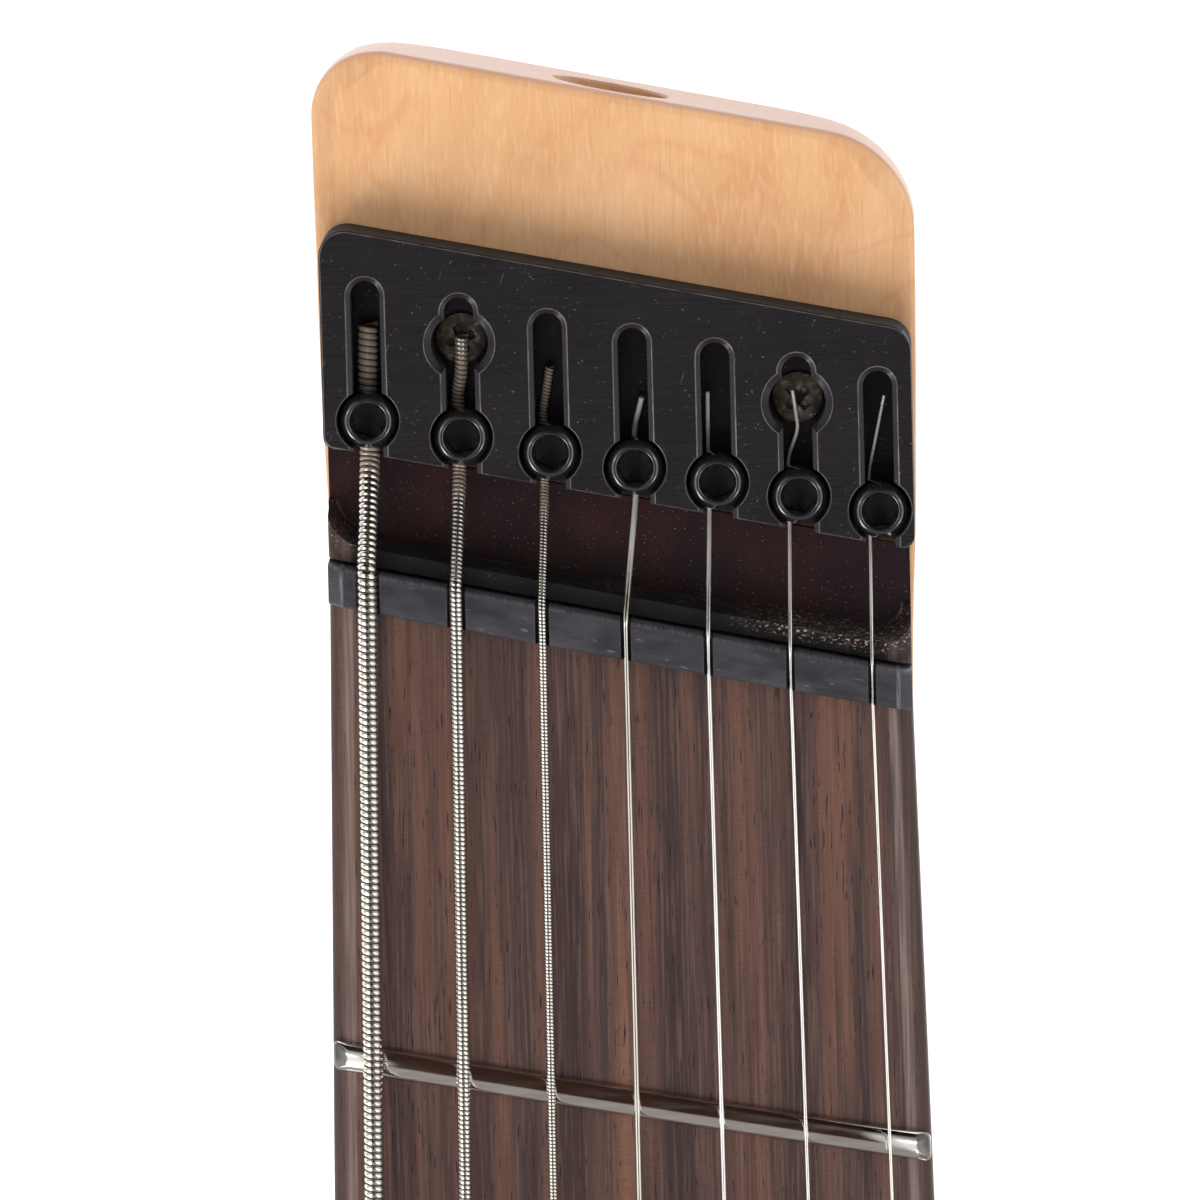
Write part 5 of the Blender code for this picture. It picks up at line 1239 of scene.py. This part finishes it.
for label in ("volume", "tone"):
    low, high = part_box(f"{label}_pot")
    x, y = (low[0] + high[0]) / 2, (low[1] + high[1]) / 2
    can = pot_floor - low[2]
    tall = high[2] - low[2]
    profile = [(0, 0), (0.0070, 0), (0.0078, 0.0006), (pot_radius, 0.0012), (pot_radius, can - 0.0006),
               (0.0076, can - 0.0003), (0.0050, can), (0.0036, can)]
    profile += threaded(pot_thread, can + 0.0003, tall - 0.0026, 0.0006)
    profile += [(pot_thread, tall - 0.0021), (0.0052, tall - 0.0020), (0.0055, tall - 0.0018),
                (0.0055, tall - 0.0004), (0.0050, tall), (0.0028, tall), (0.0028, 0.0012), (0, 0.0012)]
    pot = turned_mesh(f"{label}_can", profile, (x, y, low[2]), shape=hexed(tall - 0.0021, tall + 1, 0.0050))
    piece(f"{label}_can", pot, rod_steel, stands_for=[f"{label}_pot"])
    low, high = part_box(f"{label}_knob")
    foot, crest = 0.0426 - low[2], high[2] - low[2]
    groove = dial_radius - 0.0003
    profile = [(0, 0), (0.0022, 0), (0.0025, 0.0003), (0.0025, foot + 0.0026), (0.0061, foot + 0.0026),
               (0.0061, foot), (0.0090, foot), (dial_radius, foot + 0.0003), (dial_radius, foot + 0.0012),
               (groove, foot + 0.0014), (groove, foot + 0.0017), (dial_radius, foot + 0.0019)]
    profile += [(dial_radius, height) for height in np.linspace(foot + 0.0021, crest - 0.0022, 24)]
    profile += [(dial_radius, crest - 0.0018), (groove, crest - 0.0016), (groove, crest - 0.0013),
                (dial_radius, crest - 0.0011), (0.0090, crest - 0.0005), (0.0084, crest - 0.00012),
                (0.0078, crest), (0.0070, crest - 0.0002), (0, crest - 0.0003)]
    dial = turned_mesh(f"{label}_dial", profile, (x, y, low[2]), count=176,
                       shape=knurled(foot + 0.0020, crest - 0.0019, 44, 0.0013, 0.00035))
    piece(f"{label}_dial", dial, plating, f"{label}_knob", [f"{label}_knob"])
    dot = turned_mesh(f"{label}_dot", pointer_profile, (x, y + 0.0058, high[2] - 0.00018), count=24)
    piece(f"{label}_dot", dot, pearl, f"{label}_knob")

# Pickup switch: a boxed three-way switch under the top, its threaded bushing and round nut on the wood, and a
# turned lever with a rounded tip that tilts in it.
low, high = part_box("switch_body")
x, y = (low[0] + high[0]) / 2, (low[1] + high[1]) / 2
case_high = (high[0] - 0.001, high[1], pot_floor)
case = block_mesh("case", (low[0] + 0.001, low[1], low[2]), case_high, 0.0008, 0.0006)
top = high[2]
sleeve = [(0, top - 0.010), (0.0038, top - 0.010), (0.0038, top - 0.0006), (0.0042, top), (0.0060, top),
          (0.0074, top - 0.0002), (0.0080, top - 0.0008), (0.0080, top - 0.0017), (0.0077, top - 0.0020),
          (0.0060, top - 0.0020)]
sleeve += threaded(0.0059, top - 0.0024, pot_floor + 0.0001, 0.0008)
sleeve += [(0.0059, pot_floor - 0.0007), (0, pot_floor - 0.0007)]
bushing = turned_mesh("bushing", sleeve, (x, y, 0), count=96,
                      shape=knurled(top - 0.0018, top - 0.0007, 32, 0.01, 0.0002))
switch_case = joined("switch_case", case, bushing)
piece("switch_case", switch_case, moulded, stands_for=["switch_body"])
pivot = 0.040


def round_profile(radius, height, first, last):
    """Twelve points on a circle's arc about a height on the axis, between two angles from the top."""
    return [(radius * math.sin(angle), height + radius * math.cos(angle))
            for angle in np.linspace(first, last, 12)]


lever_profile = [(0, -0.0040), (0.0012, -0.0040), (0.00145, -0.0038)] + round_profile(0.0034, 0, 2.62, 0.50)
lever_profile += [(0.00155, 0.0036), (0.0014, 0.0060), (0.00135, 0.0100), (0.0016, 0.0126)]
lever_profile += round_profile(0.0032, 0.0165, 2.5, 0)
lever = turned_mesh("lever", lever_profile, (x, y, pivot), count=40)
piece("lever", lever, plating, "switch_lever", ["switch_lever"])

# Jack socket: a turned metal flange, plated satin black and let into the treble side. Behind it is a long
# threaded barrel, with a bore for a 6.35 mm plug.
rim_middle = 0.021  # the height of the jack and of the strap buttons in the body's side
jack_thread, flange_radius, plug_radius, bore_end = 0.0050, 0.0110, 0.00325, -0.022
jack_profile = [(0, -0.025), (0.0042, -0.025), (0.0048, -0.0245)]
jack_profile += threaded(jack_thread, -0.0240, -0.0090, 0.0009)
jack_profile += [(jack_thread, -0.0085), (jack_thread, -0.0022), (0.0104, -0.0022), (flange_radius, -0.0018),
                 (flange_radius, -0.0007), (0.0106, -0.0002), (0.0100, 0.0), (0.0072, 0.0), (0.0069, -0.0003),
                 (0.0066, -0.0003), (0.0063, 0.0), (0.0040, 0.0), (0.0035, -0.0003), (plug_radius, -0.0007),
                 (plug_radius, bore_end), (0, bore_end)]
jack = turned_mesh("jack", jack_profile, (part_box("jack_socket")[1][0], 0.010, rim_middle), (1, 0, 0), 72)
piece("jack", jack, plating, stands_for=["jack_socket"])

# Strap buttons: turned metal mushrooms, plated satin black, on the tail and on the upper horn. A cross-head
# wood screw through the middle of each holds it.
shank_radius = 0.0018
button_profile = [(0, -0.020), (shank_radius * 0.4, -0.0185)]
button_profile += threaded(shank_radius, -0.0175, -0.0010, 0.0011)
button_profile += [(shank_radius, 0.0003), (0.0054, 0.0003), (0.0058, 0.0006), (0.0056, 0.0012),
                   (0.0044, 0.0032), (0.0039, 0.0050), (0.0040, 0.0068), (0.0052, 0.0084), (0.0068, 0.0094),
                   (0.0072, 0.0103), (0.0072, 0.0112), (0.0069, 0.0119), (0.0062, 0.0124), (0.0052, 0.0125),
                   (0.0042, 0.0120), (0.0036, 0.0118), (0, 0.0118)]
for number, (x, y, way) in enumerate(((0, -0.084, -1), (-0.114, 0.318, 1)), 1):
    place = (x, y, rim_middle)
    stud = turned_mesh(f"button_{number}", button_profile, place, (0, way, 0), 48)
    head = cross_head("head", 0, 0, 0.0124, 0.0033, 0.6 * number, 0.0012, length=0.004)
    head.transform(Matrix.Translation(place) @ Matrix.Rotation(math.radians(-90 * way), 4, "X"))
    piece(f"button_{number}", joined(f"button_{number}", stud, head), plating,
          stands_for=[f"strap_button_{number}"])

# Control cover: a thin plate of moulded black plastic, let into the back over the control cavity. Six
# countersunk screws with cross heads hold it.
low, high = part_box("control_cover")
cover_sides = low[0], high[0], low[1], high[1]
cover_corner, screw_inset, screw_shift = 0.010, 0.0045, 0.004
cover = edged_slab("cover", lambda inset: slanted_plan(*cover_sides, 0, cover_corner, inset), [
    (0.0004, low[2]), (0.0001, low[2] + 0.0001), (0, low[2] + 0.0004), (0, high[2])])
piece("back_cover", cover, moulded, stands_for=["control_cover"])
cover_screws = []
screw_rows = (low[1] + screw_inset + screw_shift, (low[1] + high[1]) / 2, high[1] - screw_inset - screw_shift)
for x in (low[0] + screw_inset, high[0] - screw_inset):
    for y in screw_rows:
        head = cross_head("head", 0, 0, 0.0, 0.0019, x * 70 + y * 30, 0.0007, length=0.006)
        head.transform(Matrix.Translation((x, y, low[2] - 0.00005)) @ Matrix.Rotation(math.pi, 4, "X"))
        cover_screws.append(head)
piece("cover_screws", joined("cover_screws", *cover_screws), blackened)

# Neck bolts: three steel socket bolts, plated satin black, that go through the body into the neck's heel.
# Their round heads are sunk in counterbores in the back.
bolt_places = (-0.018, 0.174), (0.018, 0.174), (-0.014, 0.214)
bolt_radius, bolt_head_radius = 0.0022, 0.0050
for number, (x, y) in enumerate(bolt_places, 1):
    reach = float(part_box(f"neck_bolt_{number}")[1][2])
    profile = [(0, 0.0021), (0, 0.0018, 1), (0.0023, 0.0005, 1), (0.0027, 0.0003), (0.0042, 0.0003),
               (0.0047, 0.0005), (bolt_head_radius, 0.0010), (bolt_head_radius, 0.0030), (0.0048, 0.0033),
               (bolt_radius, 0.0033)]
    profile += threaded(bolt_radius, 0.0120, reach - 0.0006, 0.0009) + [(0, reach)]
    bolt = turned_mesh(f"bolt_{number}", profile, (x, y, 0), apothem=0.0020, turn=0.4 * number)
    piece(f"bolt_{number}", bolt, plating, stands_for=[f"neck_bolt_{number}"])

# Studio: a white floor, the room's even light, and a broad soft lamp overhead that leans to the tail end.
# What metal and lacquer mirror is a darker room, with lit walls and lamps at its sides.
floor_half = 30
floor_mesh = bpy.data.meshes.new("floor")
floor_corners = [(x * floor_half, y * floor_half, -0.0002) for x, y in ((-1, -1), (1, -1), (1, 1), (-1, 1))]
floor_mesh.from_pydata(floor_corners, [], [(0, 1, 2, 3)])
floor = bpy.data.objects.new("floor", floor_mesh)
bpy.context.scene.collection.objects.link(floor)
paper = finish("white_paper", Base_Color=(0.86, 0.86, 0.86), Roughness=0.9, Specular_IOR_Level=0.1)
seen = node(paper, "LightPath")
lit = maths(paper, "MAXIMUM", seen.outputs["Is Camera Ray"], seen.outputs["Is Glossy Ray"])
feed(paper, Emission_Color=(1.0, 1.0, 1.0), Emission_Strength=maths(paper, "MULTIPLY", lit, 0.55))
floor_mesh.materials.append(paper)

room = bpy.data.worlds.new("room")
bpy.context.scene.world = room
room.use_nodes = True
backdrop = room.node_tree.nodes["Background"]
room_path = node(room, "LightPath")
eastward, northward = (axis(room, "Generated", letter) for letter in ("X", "Y"))
wide = maths(room, "ABSOLUTE", eastward)
narrowed = product(room, maths(room, "MINIMUM", northward, 0.0), 0.30)
strip = span(room, maths(room, "ADD", wide, narrowed), 0.15, 0.30)
head_side = product(room, span(room, northward, 0.35, 0.70), span(room, wide, 0.80, 0.50))
sides = product(room, maths(room, "SUBTRACT", strip, product(room, strip, head_side)), 0.80)
boxes = product(room, span(room, wide, 0.40, 0.55), span(room, wide, 0.97, 0.90),
                span(room, northward, -0.70, -0.50), span(room, northward, 0.30, 0.12), 0.8)
sides = maths(room, "ADD", sides, boxes)
small_lamps = (  # which side it stands on, its low and high ends along Y, and how bright it is
    (-1, -0.76, -0.36, 8.0), (-1, 0.08, 0.25, 6.0), (1, -0.62, -0.38, 3.5), (1, 0.08, 0.28, 4.5))
for east, low, high, glow in small_lamps:
    sideways = product(room, eastward, east)
    lamp_face = product(room, span(room, sideways, 0.46, 0.52), span(room, sideways, 0.78, 0.72),
                        span(room, northward, low, low + 0.05), span(room, northward, high, high - 0.05),
                        glow)
    sides = maths(room, "ADD", sides, lamp_face)
front = product(room, span(room, northward, -0.20, -0.32), 0.36)
ceiling = product(room, maths(room, "SUBTRACT", 1.0, strip), front)
glossy = mix(room, strip, (0.045, 0.024, 0.016), (0.0, 0.0, 0.0))
glossy = mix(room, 1.0, glossy, maths(room, "ADD", sides, ceiling), "ADD")
level = mix(room, room_path.outputs["Is Diffuse Ray"], glossy, (0.70, 0.70, 0.70))
white = mix(room, room_path.outputs["Is Camera Ray"], level, (1.0, 1.0, 1.0))
room.node_tree.links.new(white, backdrop.inputs["Color"])

lamp = bpy.data.lights.new("soft_lamp", "SUN")
lamp.energy = 1.5
lamp.angle = math.radians(30)
lamp_object = bpy.data.objects.new("soft_lamp", lamp)
bpy.context.scene.collection.objects.link(lamp_object)
lamp_object.rotation_euler = (math.radians(28), math.radians(-5), 0)
lamp_object.visible_glossy = False

# Camera: a long lens one metre over the nut, leaning a little towards the head and the treble side. Its
# frame is 98 mm wide there.
camera_aim = np.array([-0.001593, nut_y + 0.004854, board_crown])
camera_way = np.array([0.03137, 0.12979, 0.99105])
camera_up = np.array([0.02120, 0.99122, -0.13048])
camera_distance = 1.0
view_width = 0.09824
camera_data = bpy.data.cameras.new("camera")
camera_data.sensor_width = 36
camera_data.lens = 36 * camera_distance / view_width
camera_data.clip_start = 0.05
camera_data.clip_end = 100
camera = bpy.data.objects.new("camera", camera_data)
bpy.context.scene.collection.objects.link(camera)
camera_turn = np.eye(4)
camera_turn[:3, :3] = np.stack([np.cross(camera_up, camera_way), camera_up, camera_way], 1)
camera_turn[:3, 3] = camera_aim + camera_way * camera_distance
camera.matrix_world = Matrix(camera_turn.tolist())
bpy.context.scene.camera = camera

bpy.context.scene.view_settings.view_transform = "Standard"
